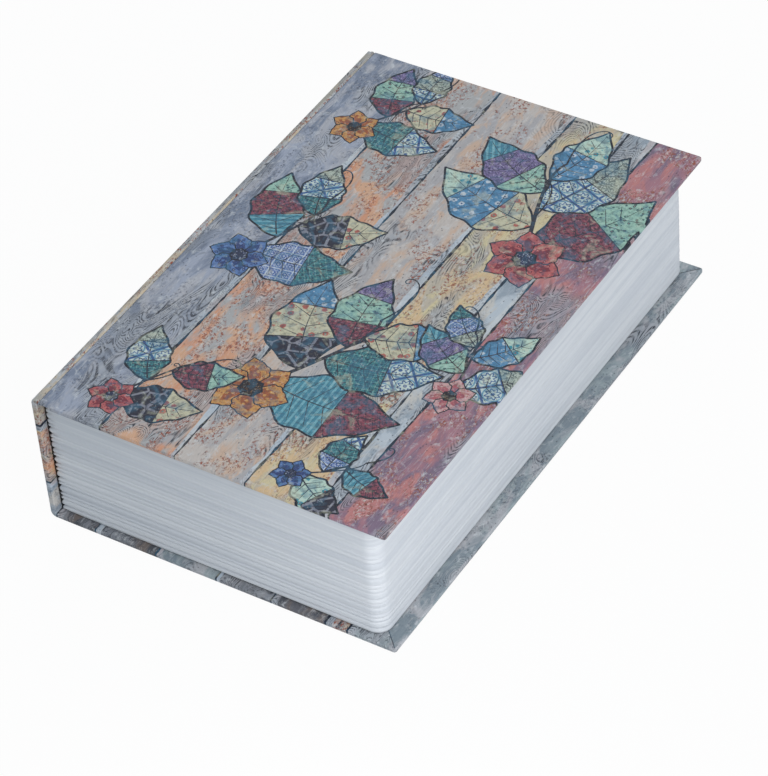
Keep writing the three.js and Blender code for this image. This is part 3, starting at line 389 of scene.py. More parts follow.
def moulded_plastic(name, colour, roughness, texture_depth):
    finish = Finish(name)
    place = finish.object_place()
    spark = finish.noise(place, 3000.0, 2.0)
    handling = finish.noise(place, 120.0, 4.0, 0.6)
    shade = tuple(channel * 1.6 + 6 for channel in colour)
    plastic = finish.mix(handling.between(0.5, 0.8, 0.0, 0.4), colour, shade)
    shine = handling.between(0.3, 0.7, roughness - 0.05, roughness + 0.1)
    finish.done(plastic, shine, spark, texture_depth, 0.5)


def ink_material(name, colour, worn):
    """Thin print or foil laid on a moulding."""
    finish = Finish(name)
    missing = finish.noise(finish.object_place(), 1800.0, 3.0, 0.7).between(0.58, 0.8, 0.0, 0.5)
    finish.done(finish.mix(missing, colour, worn), 0.4)


printed_paper()
page_material()
paper_material()
powder_coat("box_enamel", (22, 24, 29), (46, 49, 56), 0.46)
powder_coat("door_enamel", (64, 68, 76), (92, 97, 105), 0.44)
powder_coat("strike_enamel", (104, 109, 116), (128, 133, 140), 0.46)
powder_coat("hinge_steel", (72, 76, 84), (98, 103, 110), 0.42)
plated_steel()
brass()
felt()
moulded_plastic("lock_plastic", (15, 15, 17), 0.42, 0.02 * MM)
moulded_plastic("knob_plastic", (13, 13, 15), 0.2, 0.004 * MM)
moulded_plastic("wheel_plastic", (16, 16, 18), 0.32, 0.008 * MM)
# near-black plastic for the strip in the gap beside the spine, which is painted shade for that gap
moulded_plastic("spine_glue", (20, 19, 20), 0.55, 0.03 * MM)
ink_material("white_print", (222, 224, 226), (150, 152, 156))
ink_material("gold_print", (186, 164, 112), (120, 104, 70))


# Sizes of the case, taken from the CAD parts


def box_mm(node):
    """A CAD node's lowest and highest corners in mm."""
    low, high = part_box(node)
    return low / MM, high / MM


CASE_LOW, CASE_HIGH = box_mm("case_wrap")
FRONT_BOARD_LOW, FRONT_BOARD_HIGH = box_mm("front_board")
HALF_HEIGHT_MM = CASE_HIGH.y
TOP_MM = CASE_HIGH.z
SPINE_OUT_MM = CASE_LOW.x
FORE_MM = CASE_HIGH.x
PAPER_MM = TOP_MM - FRONT_BOARD_HIGH.z
SPINE_IN_MM = box_mm("spine_board")[1].x + PAPER_MM
BACK_BOARD_TOP_MM = box_mm("back_board")[1].z + PAPER_MM
COVER_START_MM = FRONT_BOARD_LOW.x - PAPER_MM
COVER_UNDER_MM = FRONT_BOARD_LOW.z - PAPER_MM

# Motifs on the print: each layer is an outline in mm on the unrolled sheet, and its paint


class Paint:
    """Three inks and the pattern that mixes them, drawn at a size and a turn of its own."""

    def __init__(self, ground, figure, accent, kind, size_mm):
        self.ground = linear(*ground)
        self.figure = linear(*figure)
        self.accent = linear(*accent)
        self.kind = float(kind)
        self.size_mm = size_mm
        self.centre = (0.0, 0.0)
        self.turn = 0.0

    def at(self, centre, turn):
        placed = copy.copy(self)
        placed.centre = centre
        placed.turn = turn
        return placed

    def deepened(self):
        """The same paint with its darker ink as the ground."""
        deeper = copy.copy(self)
        deeper.ground, deeper.figure = self.figure, self.ground
        return deeper

    def patch_place(self, point):
        x = (point[0] - self.centre[0]) / self.size_mm
        y = (point[1] - self.centre[1]) / self.size_mm
        cosine = math.cos(self.turn)
        sine = math.sin(self.turn)
        return (x * cosine + y * sine, y * cosine - x * sine)


def solid_ink(colour):
    return Paint(colour, colour, colour, SOLID, 1.0)


OUTLINE_INK = solid_ink((30, 33, 44))
VEIN_INK = solid_ink((50, 50, 60))
JOINT_INK = solid_ink((30, 34, 48))
MITRE_INK = solid_ink((60, 62, 68))
PATCHES = [
    Paint((74, 142, 162), (118, 176, 190), (54, 104, 130), STRIPES, 2.4),
    Paint((202, 216, 212), (62, 98, 152), (112, 160, 186), TILE, 9.0),
    Paint((190, 214, 200), (58, 152, 168), (188, 112, 108), FLORAL, 4.6),
    Paint((146, 76, 90), (88, 52, 68), (48, 38, 52), QUILT, 5.2),
    Paint((184, 194, 182), (92, 104, 102), (212, 218, 212), LACE, 4.0),
    Paint((42, 40, 56), (138, 138, 150), (96, 90, 112), CRACKLE, 5.5),
    Paint((158, 196, 180), (62, 104, 102), (196, 138, 132), FLORAL, 2.6),
    Paint((72, 100, 166), (196, 206, 222), (136, 158, 200), TILE, 5.0),
    Paint((202, 196, 168), (178, 98, 86), (90, 140, 132), FLORAL, 5.4),
    Paint((140, 126, 170), (70, 62, 102), (186, 178, 202), LACE, 3.0),
    Paint((64, 132, 138), (32, 68, 88), (136, 180, 174), QUILT, 4.4),
    Paint((88, 142, 182), (196, 206, 216), (40, 70, 120), FLORAL, 5.0),
]
PETAL_PAINTS = [
    Paint((206, 150, 88), (164, 92, 56), (222, 184, 124), FLORAL, 2.9),
    Paint((188, 98, 98), (132, 54, 66), (216, 152, 144), FLORAL, 3.2),
    Paint((208, 164, 164), (176, 94, 102), (226, 202, 196), FLORAL, 3.0),
    Paint((94, 126, 180), (50, 68, 120), (150, 172, 206), FLORAL, 3.0),
]
HEART_PAINTS = [
    Paint((40, 30, 32), (112, 80, 52), (188, 152, 90), FLORAL, 1.2),
    Paint((42, 50, 78), (140, 150, 178), (200, 184, 142), FLORAL, 1.2),
]

# Three inks of old paint and the kind of its flecks
SLATE_BLUE = ((165, 171, 188), (129, 138, 158), (180, 180, 188), SLATY)
ORANGE = ((217, 171, 140), (177, 175, 175), (215, 152, 119), RUSTY)
BEIGE = ((200, 190, 184), (177, 173, 175), (207, 177, 156), RUSTY)
OCHRE = ((217, 186, 146), (192, 180, 163), (215, 200, 158), RUSTY)
PALE_GREY = ((190, 198, 207), (154, 165, 177), (205, 200, 194), SLATY)
PLUM = ((169, 121, 133), (131, 110, 131), (194, 127, 125), RUSTY)
BURNT_ORANGE = ((224, 169, 133), (188, 171, 163), (217, 190, 148), RUSTY)
TAN = ((207, 188, 161), (173, 167, 158), (184, 186, 190), RUSTY)
PALE_EDGE = ((184, 194, 206), (202, 206, 210), (190, 182, 184), SLATY)
# dark grey plank print, made darker still as painted shade for the back board's tail edge
DARK_GREY_AND_PAINTED_SHADE = ((104, 104, 110), (84, 86, 92), (124, 112, 106), SLATY)
GREEN_GREY = ((158, 169, 173), (133, 144, 152), (182, 182, 186), SLATY)

# Planks: the boundary after each one at the tail and at the head, and the plank's paint
FRONT_PLANKS = [
    (SPINE_IN_MM + 0.4, SPINE_IN_MM + 0.4, TAN),
    (-46.0, -44.0, SLATE_BLUE),
    (-13.0, -14.5, ORANGE),
    (18.0, 20.6, BEIGE),
    (47.0, 45.0, OCHRE),
    (54.0, 57.5, PALE_GREY),
    (90.0, 90.0, PLUM),
]
# The dark planks on the back carry painted shade for the back board's tail edge as well as their print
CASE_PLANKS = [
    (-272.0, -270.0, GREEN_GREY),
    (-262.0, -261.0, BURNT_ORANGE),
    (-238.0, -240.5, DARK_GREY_AND_PAINTED_SHADE),
    (-214.0, -212.0, DARK_GREY_AND_PAINTED_SHADE),
    (-186.0, -184.0, GREEN_GREY),
    (-158.0, -160.5, DARK_GREY_AND_PAINTED_SHADE),
    (-140.0, -139.0, DARK_GREY_AND_PAINTED_SHADE),
    (-119.0, -120.0, PALE_GREY),
    (-90.0, -89.0, BURNT_ORANGE),
    (-60.0, -60.0, TAN),
]

# How the planks are drawn
PLANK_REACH_MM = 128.0
PLANK_STEP_MM = 3.2
JOINT_LINE_MM = 1.0
JOINT_LINE_SHARES = (0.35, 1.45)
PAINT_SPREAD_MM = 900
SWAY_MM = 0.35
SHAKE_MM = 0.09
WORN_EDGE_MM = 1.2
WORN_SWELL_MM = 1.6
WORN_SHAKE_MM = 0.6

# How lines, leaves and flowers are drawn
STROKE_OVERLAP = 0.2
SEAM_MM = 0.5
SIDE_VEIN_MM = [0.42, 0.3, 0.2]
LEAF_LINE_MM = 0.9
LEAF_SIZE_MM = (36, 20)
STEM_LENGTH_MM = 44
STEM_WIDTH_MM = 1.3
TENDRIL_WIDTH_MM = 0.8
FLOWER_RADIUS_MM = 11
FLOWER_PETALS = 6


def joint_path(tail, head, draw):
    """A plank's edge from tail to head, nearly straight, as points on the sheet."""
    count = round(2 * PLANK_REACH_MM / PLANK_STEP_MM)
    phase = draw.uniform(0, 6)
    path = []
    for step in range(count + 1):
        share = step / count
        sway = SWAY_MM * math.sin(9 * share + phase) + draw.uniform(-SHAKE_MM, SHAKE_MM)
        path.append(Vector((tail + (head - tail) * share + sway, PLANK_REACH_MM * (2 * share - 1))))
    return path


def plank_paint_at_random(inks, draw):
    places = [draw.uniform(-PAINT_SPREAD_MM, PAINT_SPREAD_MM) for _ in range(2)]
    return Paint(*inks, 1.0).at(places, 0.0)


def plank_layers(start, planks, seed):
    """Painted planks side by side across the sheet, with an inked joint after each."""
    draw = random.Random(seed)
    before = [Vector((start, -PLANK_REACH_MM)), Vector((start, PLANK_REACH_MM))]
    layers, edges, lines = [], [], []
    for tail, head, inks in planks:
        path = joint_path(tail, head, draw)
        layers.append((before + path[::-1], plank_paint_at_random(inks, draw)))
        widths = [JOINT_LINE_MM * draw.uniform(*JOINT_LINE_SHARES) for _ in path]
        stroke(lines, path, widths, JOINT_INK)
        worn = []
        for step, point in enumerate(path):
            swell = WORN_SWELL_MM * abs(math.sin(0.13 * step + tail))
            depth = WORN_EDGE_MM + swell + draw.uniform(0, WORN_SHAKE_MM)
            worn.append(point - Vector((depth, 0)))
        edges.append((worn + path[::-1], plank_paint_at_random(PALE_EDGE, draw)))
        before = path
    return layers + edges + lines


def stroke(layers, path, widths, ink, closed=False):
    """An inked line along a path, with one width or a width at each point."""
    count = len(path)
    if isinstance(widths, float):
        widths = [widths] * count
    for i in range(count if closed else count - 1):
        j = (i + 1) % count
        start, end = Vector(path[i]), Vector(path[j])
        along = end - start
        if along.length < 1e-4:
            continue
        along.normalize()
        across = Vector((-along.y, along.x))
        start -= along * widths[i] * STROKE_OVERLAP
        end += along * widths[j] * STROKE_OVERLAP
        low, high = across * widths[i] / 2, across * widths[j] / 2
        layers.append(([start - low, end - high, end + high, start + low], ink))


def way(angle):
    return Vector((math.cos(angle), math.sin(angle)))


def leaf_sides(foot, heading, length, width, bend, steps=26):
    """Points down both sides of a leaf and its middle line, from foot to tip."""
    middle, left, right = [Vector(foot)], [Vector(foot)], [Vector(foot)]
    for step in range(1, steps + 1):
        share = step / steps
        forward = way(heading + bend * (share - 0.5))
        middle.append(middle[-1] + forward * length / steps)
        half = width / 2 * math.sin(math.pi * share ** 0.82) ** 1.05 if step < steps else 0.0
        sideways = Vector((-forward.y, forward.x)) * half * (1 + 0.07 * math.sin(26 * share))
        left.append(middle[-1] + sideways)
        right.append(middle[-1] - sideways)
    return middle, left, right


def leaf(layers, foot, heading, length, width, bend, paints, cuts):
    """A leaf sewn from patches, cut across at shares of its length."""
    middle, left, right = leaf_sides(foot, heading, length, width, bend)
    steps = len(middle) - 1
    marks = [0] + [round(cut * steps) for cut in cuts] + [steps]
    for order, (low, high) in enumerate(zip(marks, marks[1:])):
        down = right[max(low, 1):min(high, steps - 1) + 1]
        up = left[max(low, 1):min(high, steps - 1) + 1][::-1]
        tip = [middle[-1]] if high == steps else []
        start = [middle[0]] if low == 0 else []
        paint = paints[order % len(paints)].at(middle[(low + high) // 2], heading + 0.5 * order)
        layers.append((start + down + tip + up, paint))
    for mark in marks[1:-1]:
        stroke(layers, [left[mark], middle[mark], right[mark]], SEAM_MM, VEIN_INK)
    for rung in range(3, steps - 5, 3):
        for side in (left, right):
            end = middle[rung].lerp(side[rung + 3], 0.8)
            vein = [middle[rung], middle[rung].lerp(end, 0.5), end]
            stroke(layers, vein, SIDE_VEIN_MM, VEIN_INK)
    vein = middle[1:-2]
    stroke(layers, vein, [0.6 - 0.4 * i / len(vein) for i in range(len(vein))], VEIN_INK)
    outline = right + left[-2:0:-1]
    stroke(layers, outline, LEAF_LINE_MM, OUTLINE_INK, closed=True)


def tendril_path(start, heading, length, curl, steps=48):
    """Points of a line that winds up ever tighter towards its end."""
    path = [Vector(start)]
    for step in range(steps):
        share = step / steps
        heading += curl * (0.22 + 5.2 * share ** 3.2) * 2 * math.pi / steps
        path.append(path[-1] + length / steps * (1.4 - share) * way(heading))
    return path


def tapered(layers, path, width, ink):
    stroke(layers, path, [width * (1 - 0.5 * i / len(path)) for i in range(len(path))], ink)


def heart_outline(centre, radius, ripple, steps=14, lobes=7):
    """The rippled round of a flower's heart."""
    angles = [2 * math.pi * step / steps for step in range(steps)]
    return [
        Vector(centre) + radius * (1 + ripple * math.cos(lobes * angle)) * way(angle)
        for angle in angles
    ]


def rosette(layers, centre, radius, petals, turn, paint, heart):
    """An open flower of round petals."""
    for petal in range(petals):
        heading = turn + 2 * math.pi * petal / petals
        foot = Vector(centre) + 0.12 * radius * way(heading)
        outlines = []
        for length, width, steps in ((0.9, 4.6, 14), (0.66, 2.3, 9)):
            sizes = (length * radius, width * radius / petals)
            _, left, right = leaf_sides(foot, heading, *sizes, 0.25, steps)
            outlines.append(right + left[-2:0:-1])
        layers.append((outlines[0], paint.at(foot, heading)))
        layers.append((outlines[1], paint.deepened().at(foot, heading)))
        stroke(layers, outlines[0], SEAM_MM, OUTLINE_INK, closed=True)
    layers.append((heart_outline(centre, 0.3 * radius, 0.08), OUTLINE_INK))
    layers.append((heart_outline(centre, 0.24 * radius, 0.1), heart.at(centre, turn)))


def sprig(layers, foot, heading, scale, leaves, first_paint, curl, flower):
    """A stem with patchwork leaves on both sides, a curled tip and a flower at its foot."""
    path = tendril_path(foot, heading, STEM_LENGTH_MM * scale, 0.1 * curl, 26)
    for order in range(leaves):
        place = path[2 + order * 20 // leaves]
        side = 1 if order % 2 else -1
        turn = heading + side * (0.98 - 0.1 * order)
        length, width = (size * scale * (1.05 - 0.09 * order) for size in LEAF_SIZE_MM)
        paints = [PATCHES[(first_paint + 5 * order + 3 * n) % len(PATCHES)] for n in range(3)]
        cuts = [0.36, 0.7] if order % 2 else [0.52]
        leaf(layers, place, turn, length, width, -0.5 * side, paints, cuts)
    tapered(layers, path, STEM_WIDTH_MM * scale, VEIN_INK)
    for start, turn, length, winding in ((path[-1], 0.1, 26, 0.75), (path[8], 0.5, 24, -0.8)):
        tip = tendril_path(start, heading + turn * curl, length * scale, winding * curl)
        tapered(layers, tip, TENDRIL_WIDTH_MM, OUTLINE_INK)
    paints = PETAL_PAINTS[flower], HEART_PAINTS[flower % 2]
    rosette(layers, foot, FLOWER_RADIUS_MM * scale, FLOWER_PETALS, heading, *paints)


FRONT_START_MM, FRONT_SEED = -90.0, 5
CASE_START_MM, CASE_SEED = -300.0, 8

# Sprigs: foot on the sheet, heading in degrees, scale, leaves, first patch, curl and flower
FRONT_SPRIGS = [
    ((-8, -76), 58, 1.5, 5, 0, 1, 0),
    ((46, 34), 112, 1.5, 5, 3, -1, 1),
    ((-54, -14), 64, 1.15, 4, 7, 1, 3),
    ((60, -46), 96, 0.9, 4, 1, 1, 2),
    ((-52, -104), 64, 0.9, 3, 5, -1, 1),
    ((-56, 74), 52, 0.95, 4, 10, 1, 0),
    ((30, -108), 30, 0.7, 3, 2, 1, 3),
]
CASE_SPRIGS = [
    ((-116, -66), 80, 0.62, 3, 4, 1, 1),
    ((-100, 36), 96, 0.58, 3, 9, -1, 0),
    ((-200, -52), 70, 1.2, 4, 2, 1, 2),
    ((-252, 40), 60, 1.1, 4, 6, -1, 0),
    ((-176, 62), 130, 0.8, 3, 0, 1, 3),
    ((-266, -88), 50, 0.8, 3, 8, 1, 1),
]


def with_sprigs(layers, sprigs):
    for foot, degrees, *rest in sprigs:
        sprig(layers, foot, math.radians(degrees), *rest)
    return layers


def front_planks():
    return plank_layers(FRONT_START_MM, FRONT_PLANKS, FRONT_SEED)


# Printed covers

FOOT_RADIUS_MM = 2.5
FOOT_CENTRE_MM = SPINE_OUT_MM + FOOT_RADIUS_MM
FOOT_STEPS = 6
FOOT_START_MM = SPINE_OUT_MM - (TOP_MM - FOOT_RADIUS_MM)
FOOT_END_MM = FOOT_START_MM - 2 * FOOT_RADIUS_MM
CASE_LOW_MM = SPINE_OUT_MM - TOP_MM - (FORE_MM - SPINE_OUT_MM)
EDGE_RADIUS_MM = 0.45
CORNER_RADIUS_MM = 0.55
EDGE_STEPS = 4
TURN_IN_MM = 14.0
SHEET_WRAP_MM = 3.0
LOOK_AHEAD_MM = 0.01
MITRE_GAP_MM = 0.4
MITRE_LINE_MM = 0.35


def case_outer(place):
    """Where a place across the unrolled sheet lies on the case's outer face, as x and z."""
    if place >= FOOT_START_MM:
        return SPINE_OUT_MM, TOP_MM + place - SPINE_OUT_MM
    if place <= FOOT_END_MM:
        return SPINE_OUT_MM + (SPINE_OUT_MM - TOP_MM - place), 0.0
    angle = foot_angle(place)
    return FOOT_CENTRE_MM - FOOT_RADIUS_MM * math.cos(angle), FOOT_RADIUS_MM * (1 - math.sin(angle))


def case_inner(place):
    """The same place on the case's inner face."""
    x, z = case_outer(place)
    if place >= FOOT_START_MM:
        return SPINE_IN_MM, z
    if place <= FOOT_END_MM:
        return x, BACK_BOARD_TOP_MM
    angle = foot_angle(place)
    to_wall = (FOOT_CENTRE_MM - SPINE_IN_MM) / max(math.cos(angle), 1e-6)
    to_board = (FOOT_RADIUS_MM - BACK_BOARD_TOP_MM) / max(math.sin(angle), 1e-6)
    reach = min(to_wall, to_board)
    return FOOT_CENTRE_MM - reach * math.cos(angle), FOOT_RADIUS_MM - reach * math.sin(angle)


def foot_angle(place):
    """How far a place on the sheet has gone round the case's rounded foot."""
    return (FOOT_START_MM - place) / (FOOT_START_MM - FOOT_END_MM) * math.pi / 2


def front_outer(place):
    return place, TOP_MM


def front_inner(place):
    return place, COVER_UNDER_MM


def area_of(outline):
    after = list(outline[1:]) + [outline[0]]
    return sum(a[0] * b[1] - b[0] * a[1] for a, b in zip(outline, after)) / 2


# What the triangulation keeps: all that lies within an outline
INSIDE_ONLY = 1
SHEET_TOLERANCE_MM = 1e-4


class Panel:
    """A flat outline cut into triangles, each with the paint of the last layer over it."""

    def __init__(self, outline, layers, folds=()):
        points, faces, paints, edges = [], [], [], []
        for shape, paint in [(outline, None)] + list(layers):
            shape = list(shape) if area_of(shape) > 0 else list(shape)[::-1]
            first = len(points)
            points.extend(Vector(point) for point in shape)
            faces.append(list(range(first, len(points))))
            paints.append(paint)
        reach = 2 * HALF_HEIGHT_MM
        for fold in folds:
            first = len(points)
            points.extend((Vector((fold, -reach)), Vector((fold, reach))))
            edges.append((first, first + 1))
        places, _, triangles, from_points, _, from_faces = delaunay_2d_cdt(
            points, edges, faces, INSIDE_ONLY, SHEET_TOLERANCE_MM, True
        )
        self.places = [(place.x, place.y) for place in places]
        self.from_outline = {}
        for place, sources in enumerate(from_points):
            for source in sources:
                if source < len(outline):
                    self.from_outline[source] = place
        self.triangles, self.paints = [], []
        for corners, sources in zip(triangles, from_faces):
            if 0 in sources:
                self.triangles.append(list(corners))
                self.paints.append(paints[max(sources)])
        self.rim, self.rim_paints = self.find_rim()

    def find_rim(self):
        """The places round the outer edge in order, and the paint beside each step."""
        sides = {}
        for corners, paint in zip(self.triangles, self.paints):
            for i in range(3):
                sides[(corners[i], corners[(i + 1) % 3])] = paint
        steps = {a: (b, paint) for (a, b), paint in sides.items() if (b, a) not in sides}
        rim, rim_paints = [], []
        start = place = min(steps)
        while not rim or place != start:
            place_after, paint = steps[place]
            rim.append(place)
            rim_paints.append(paint)
            place = place_after
        return rim, rim_paints


def corner_arcs(low, high, inset, low_radius, high_radius, steps):
    """Arcs at a rectangle's four corners, anticlockwise, with a radius for either side of x."""
    arcs = []
    for quarter in range(4):
        at_high_x, at_high_y = quarter in (0, 3), quarter in (0, 1)
        radius = high_radius if at_high_x else low_radius
        centre = (
            high[0] - inset - radius if at_high_x else low[0] + inset + radius,
            high[1] - inset - radius if at_high_y else low[1] + inset + radius,
        )
        angles = [(quarter + step / steps) * math.pi / 2 for step in range(steps + 1)]
        arcs.append([Vector(centre) + radius * way(angle) for angle in angles])
    return arcs


def rounded_outline(low, high, inset, radius, steps=4):
    """A rectangle with rounded corners, anticlockwise, set in from the corners low and high."""
    return sum(corner_arcs(low, high, inset, radius, radius, steps), [])


def ring_at(mesh, points, height_mm):
    """New vertices at flat points in mm, all at one height."""
    return [mesh.verts.new((x * MM, y * MM, height_mm * MM)) for x, y in points]


def bridge(mesh, ring, after):
    """Faces between two rings of vertices, of which one may be a single point."""
    for k in range(max(len(ring), len(after))):
        m = k + 1
        corners = (
            ring[k % len(ring)], ring[m % len(ring)], after[m % len(after)], after[k % len(after)]
        )
        mesh.faces.new(dict.fromkeys(corners))


def finished(name, mesh, closed=True):
    """An object from a bmesh, which is freed. A closed one has its normals turned outward."""
    if closed:
        bmesh.ops.recalc_face_normals(mesh, faces=mesh.faces)
    data = bpy.data.meshes.new(name)
    mesh.to_mesh(data)
    mesh.free()
    piece = bpy.data.objects.new(name, data)
    SCENE.collection.objects.link(piece)
    return piece


def final_mesh(source):
    """The mesh that an object has with its modifiers."""
    bpy.context.view_layer.update()
    graph = bpy.context.evaluated_depsgraph_get()
    return bpy.data.meshes.new_from_object(source.evaluated_get(graph))


def smoothed(mesh):
    for face in mesh.faces:
        face.smooth = True


class PrintedMesh:
    """A mesh whose corners carry their place on the unrolled sheet and their inks."""

    def __init__(self):
        self.mesh = bmesh.new()
        layers = self.mesh.loops.layers
        self.sheet_uv = layers.uv.new("sheet")
        self.patch_uv = layers.uv.new("patch")
        self.inks = [layers.float_color.new(f"ink_{part}") for part in INK_PARTS]
        self.kind = layers.float.new("ink_kind")

    def vertex(self, x, y, z):
        return self.mesh.verts.new((x * MM, y * MM, z * MM))

    def mark(self, face, flat, paint):
        for loop, place in zip(face.loops, flat):
            loop[self.sheet_uv].uv = (place[0] * MM, place[1] * MM)
            loop[self.patch_uv].uv = paint.patch_place(place)
            loop[self.kind] = paint.kind
            for layer, part in zip(self.inks, INK_PARTS):
                loop[layer] = getattr(paint, part)

    def face(self, verts, flat, paint, smooth):
        face = self.mesh.faces.new(verts)
        face.smooth = smooth
        self.mark(face, flat, paint)


class WrappedBoard(PrintedMesh):
    """Printed paper round a board: outer face, rounded edges and inner face, in one closed body."""

    def __init__(self, name, low, high, outer, inner, layers, folds=()):
        super().__init__()
        self.low, self.high, self.outer, self.inner, self.folds = low, high, outer, inner, folds
        ends = (low, -HALF_HEIGHT_MM), (high, HALF_HEIGHT_MM)
        outline = rounded_outline(*ends, EDGE_RADIUS_MM, CORNER_RADIUS_MM)
        panel = Panel(outline, layers, folds)
        self.rim = [panel.places[i] for i in panel.rim]
        rim_verts = self.edges(self.outer_face(panel), panel.rim_paints)
        planks = [layer for layer in layers if layer[1].kind < SOLID or layer[1] is JOINT_INK]
        self.inner_face(rim_verts, planks)
        bmesh.ops.remove_doubles(self.mesh, verts=self.mesh.verts, dist=SAME_PRINT_PLACE)
        bmesh.ops.dissolve_degenerate(self.mesh, edges=self.mesh.edges, dist=TINY_EDGE)
        unused = [vert for vert in self.mesh.verts if not vert.link_faces]
        bmesh.ops.delete(self.mesh, geom=unused, context="VERTS")
        self.object = finished(name, self.mesh, closed=False)

    def outer_face(self, panel):
        verts = []
        for place, along in panel.places:
            x, z = self.outer(place)
            verts.append(self.vertex(x, along, z))
        for corners, paint in zip(panel.triangles, panel.paints):
            flat = [panel.places[i] for i in corners]
            is_bent = FOOT_END_MM < sum(place[0] for place in flat) / 3 < FOOT_START_MM
            self.face([verts[i] for i in corners], flat, paint, is_bent)
        return [verts[i] for i in panel.rim]

    def outward(self, place):
        """The direction off the sheet at a place on its rim."""
        inset = CORNER_RADIUS_MM + EDGE_RADIUS_MM
        near_x = min(max(place[0], self.low + inset), self.high - inset)
        near_y = min(max(place[1], inset - HALF_HEIGHT_MM), HALF_HEIGHT_MM - inset)
        return Vector((place[0] - near_x, place[1] - near_y)).normalized()

    def edges(self, ring, paints):
        """Rings from the outer face round the edge to the inner face."""
        radius = EDGE_RADIUS_MM
        angles = [step / EDGE_STEPS * math.pi / 2 for step in range(EDGE_STEPS + 1)]
        levels = [(radius * math.sin(a), radius * (1 - math.cos(a)), False) for a in angles[1:]]
        levels += [(radius * math.cos(a), radius * (1 - math.sin(a)), True) for a in angles]
        ways = [self.outward(place) for place in self.rim]
        flat = self.rim
        travel = 0.0
        for order, (outset, depth, from_inner) in enumerate(levels):
            new_ring = []
            for (across, along), off in zip(self.rim, ways):
                outer, ahead = (Vector(self.outer(across + more)) for more in (0, LOOK_AHEAD_MM))
                inner = Vector(self.inner(across))
                share = depth / (inner - outer).length
                place = outer.lerp(inner, 1 - share if from_inner else share)
                place += (ahead - outer).normalized() * off.x * outset
                new_ring.append(self.vertex(place.x, along + off.y * outset, place.y))
            arc = radius * math.pi / 2 / EDGE_STEPS
            travel += arc if order != EDGE_STEPS else SHEET_WRAP_MM - 2 * radius
            new_flat = [(p[0] + off.x * travel, p[1] + off.y * travel) for p, off in zip(self.rim, ways)]
            for k, paint in enumerate(paints):
                after = (k + 1) % len(paints)
                verts = [ring[k], new_ring[k], new_ring[after], ring[after]]
                self.face(verts, [flat[k], new_flat[k], new_flat[after], flat[after]], paint, True)
            ring, flat = new_ring, new_flat
        return ring

    def turned_in(self, place, middle):
        """Where the paper on the inner face comes from, folded over the nearest edge."""
        to_end = HALF_HEIGHT_MM - abs(middle[1])
        to_low = middle[0] - self.low
        to_high = self.high - middle[0]
        if to_end < min(to_low, to_high):
            side = 1 if middle[1] > 0 else -1
            return place[0], side * (2 * HALF_HEIGHT_MM + SHEET_WRAP_MM) - place[1]
        edge = self.low if to_low < to_high else self.high
        wrap = -SHEET_WRAP_MM if to_low < to_high else SHEET_WRAP_MM
        return 2 * edge + wrap - place[0], place[1]

    def inner_face(self, rim_verts, planks):
        """The inner face, with the paper turned in and mitred at its corners."""
        half = HALF_HEIGHT_MM - EDGE_RADIUS_MM
        deep = half - TURN_IN_MM
        sides = ((self.low + EDGE_RADIUS_MM, 1), (self.high - EDGE_RADIUS_MM, -1))
        layers = list(planks)
        paints = [paint for _, paint in planks if paint.kind < SOLID]
        for (edge, inward), paint in zip(sides, (paints[0], paints[-1])):
            inner = edge + inward * TURN_IN_MM
            layers.append(([(edge, -half), (inner, -deep), (inner, deep), (edge, half)], paint))
        for end in (-1, 1):
            for edge, inward in sides:
                corner = Vector((edge + inward * MITRE_GAP_MM, end * (half - MITRE_GAP_MM)))
                inner = Vector((edge + inward * TURN_IN_MM, end * deep))
                stroke(layers, [corner, inner], MITRE_LINE_MM, MITRE_INK)
        panel = Panel(self.rim, layers, self.folds)
        verts = {place: rim_verts[source] for source, place in panel.from_outline.items()}
        for place, (across, along) in enumerate(panel.places):
            if place not in verts:
                x, z = self.inner(across)
                verts[place] = self.vertex(x, along, z)
        for corners, paint in zip(panel.triangles, panel.paints):
            flat = [panel.places[i] for i in corners]
            middle = [sum(place[n] for place in flat) / 3 for n in (0, 1)]
            flat = [self.turned_in(place, middle) for place in flat]
            self.face([verts[i] for i in corners[::-1]], flat[::-1], paint, False)


def placed(piece, slot, body, *nodes, material=None):
    """Gives a piece its material, the body it rides on and the nodes that it stands for."""
    piece.data.materials.clear()
    piece.data.materials.append(MATERIALS[material or slot])
    if body is not None:
        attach(piece, body)
    if nodes:
        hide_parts(*nodes)
    return piece


def printed_covers():
    way_round = FOOT_END_MM - FOOT_START_MM
    folds = [FOOT_START_MM + way_round * step / FOOT_STEPS for step in range(FOOT_STEPS + 1)]
    layers = with_sprigs(plank_layers(CASE_START_MM, CASE_PLANKS, CASE_SEED), CASE_SPRIGS)
    case = WrappedBoard(
        "case_cover", CASE_LOW_MM, SPINE_OUT_MM, case_outer, case_inner, layers, folds
    )
    placed(case.object, "printed_paper", "case", "case_wrap", "back_board", "spine_board")
    layers = with_sprigs(front_planks(), FRONT_SPRIGS)
    front = WrappedBoard(
        "front_cover", COVER_START_MM, FORE_MM, front_outer, front_inner, layers
    )
    placed(front.object, "printed_paper", "cover", "front_wrap", "front_board")


# Paper joint of the cover

JOINT_THICKNESS_MM = 0.55
JOINT_DROP_MM = 0.03
JOINT_OVERLAP_MM = 0.9
JOINT_STEPS = 34
JOINT_END_GAP_MM = 0.15
JOINT_LENGTH_STEPS = 60
CREASE_X_MM = SPINE_IN_MM + 0.45
CREASE_DEPTH_MM = 0.5
CREASE_HALF_WIDTH_MM = 0.55


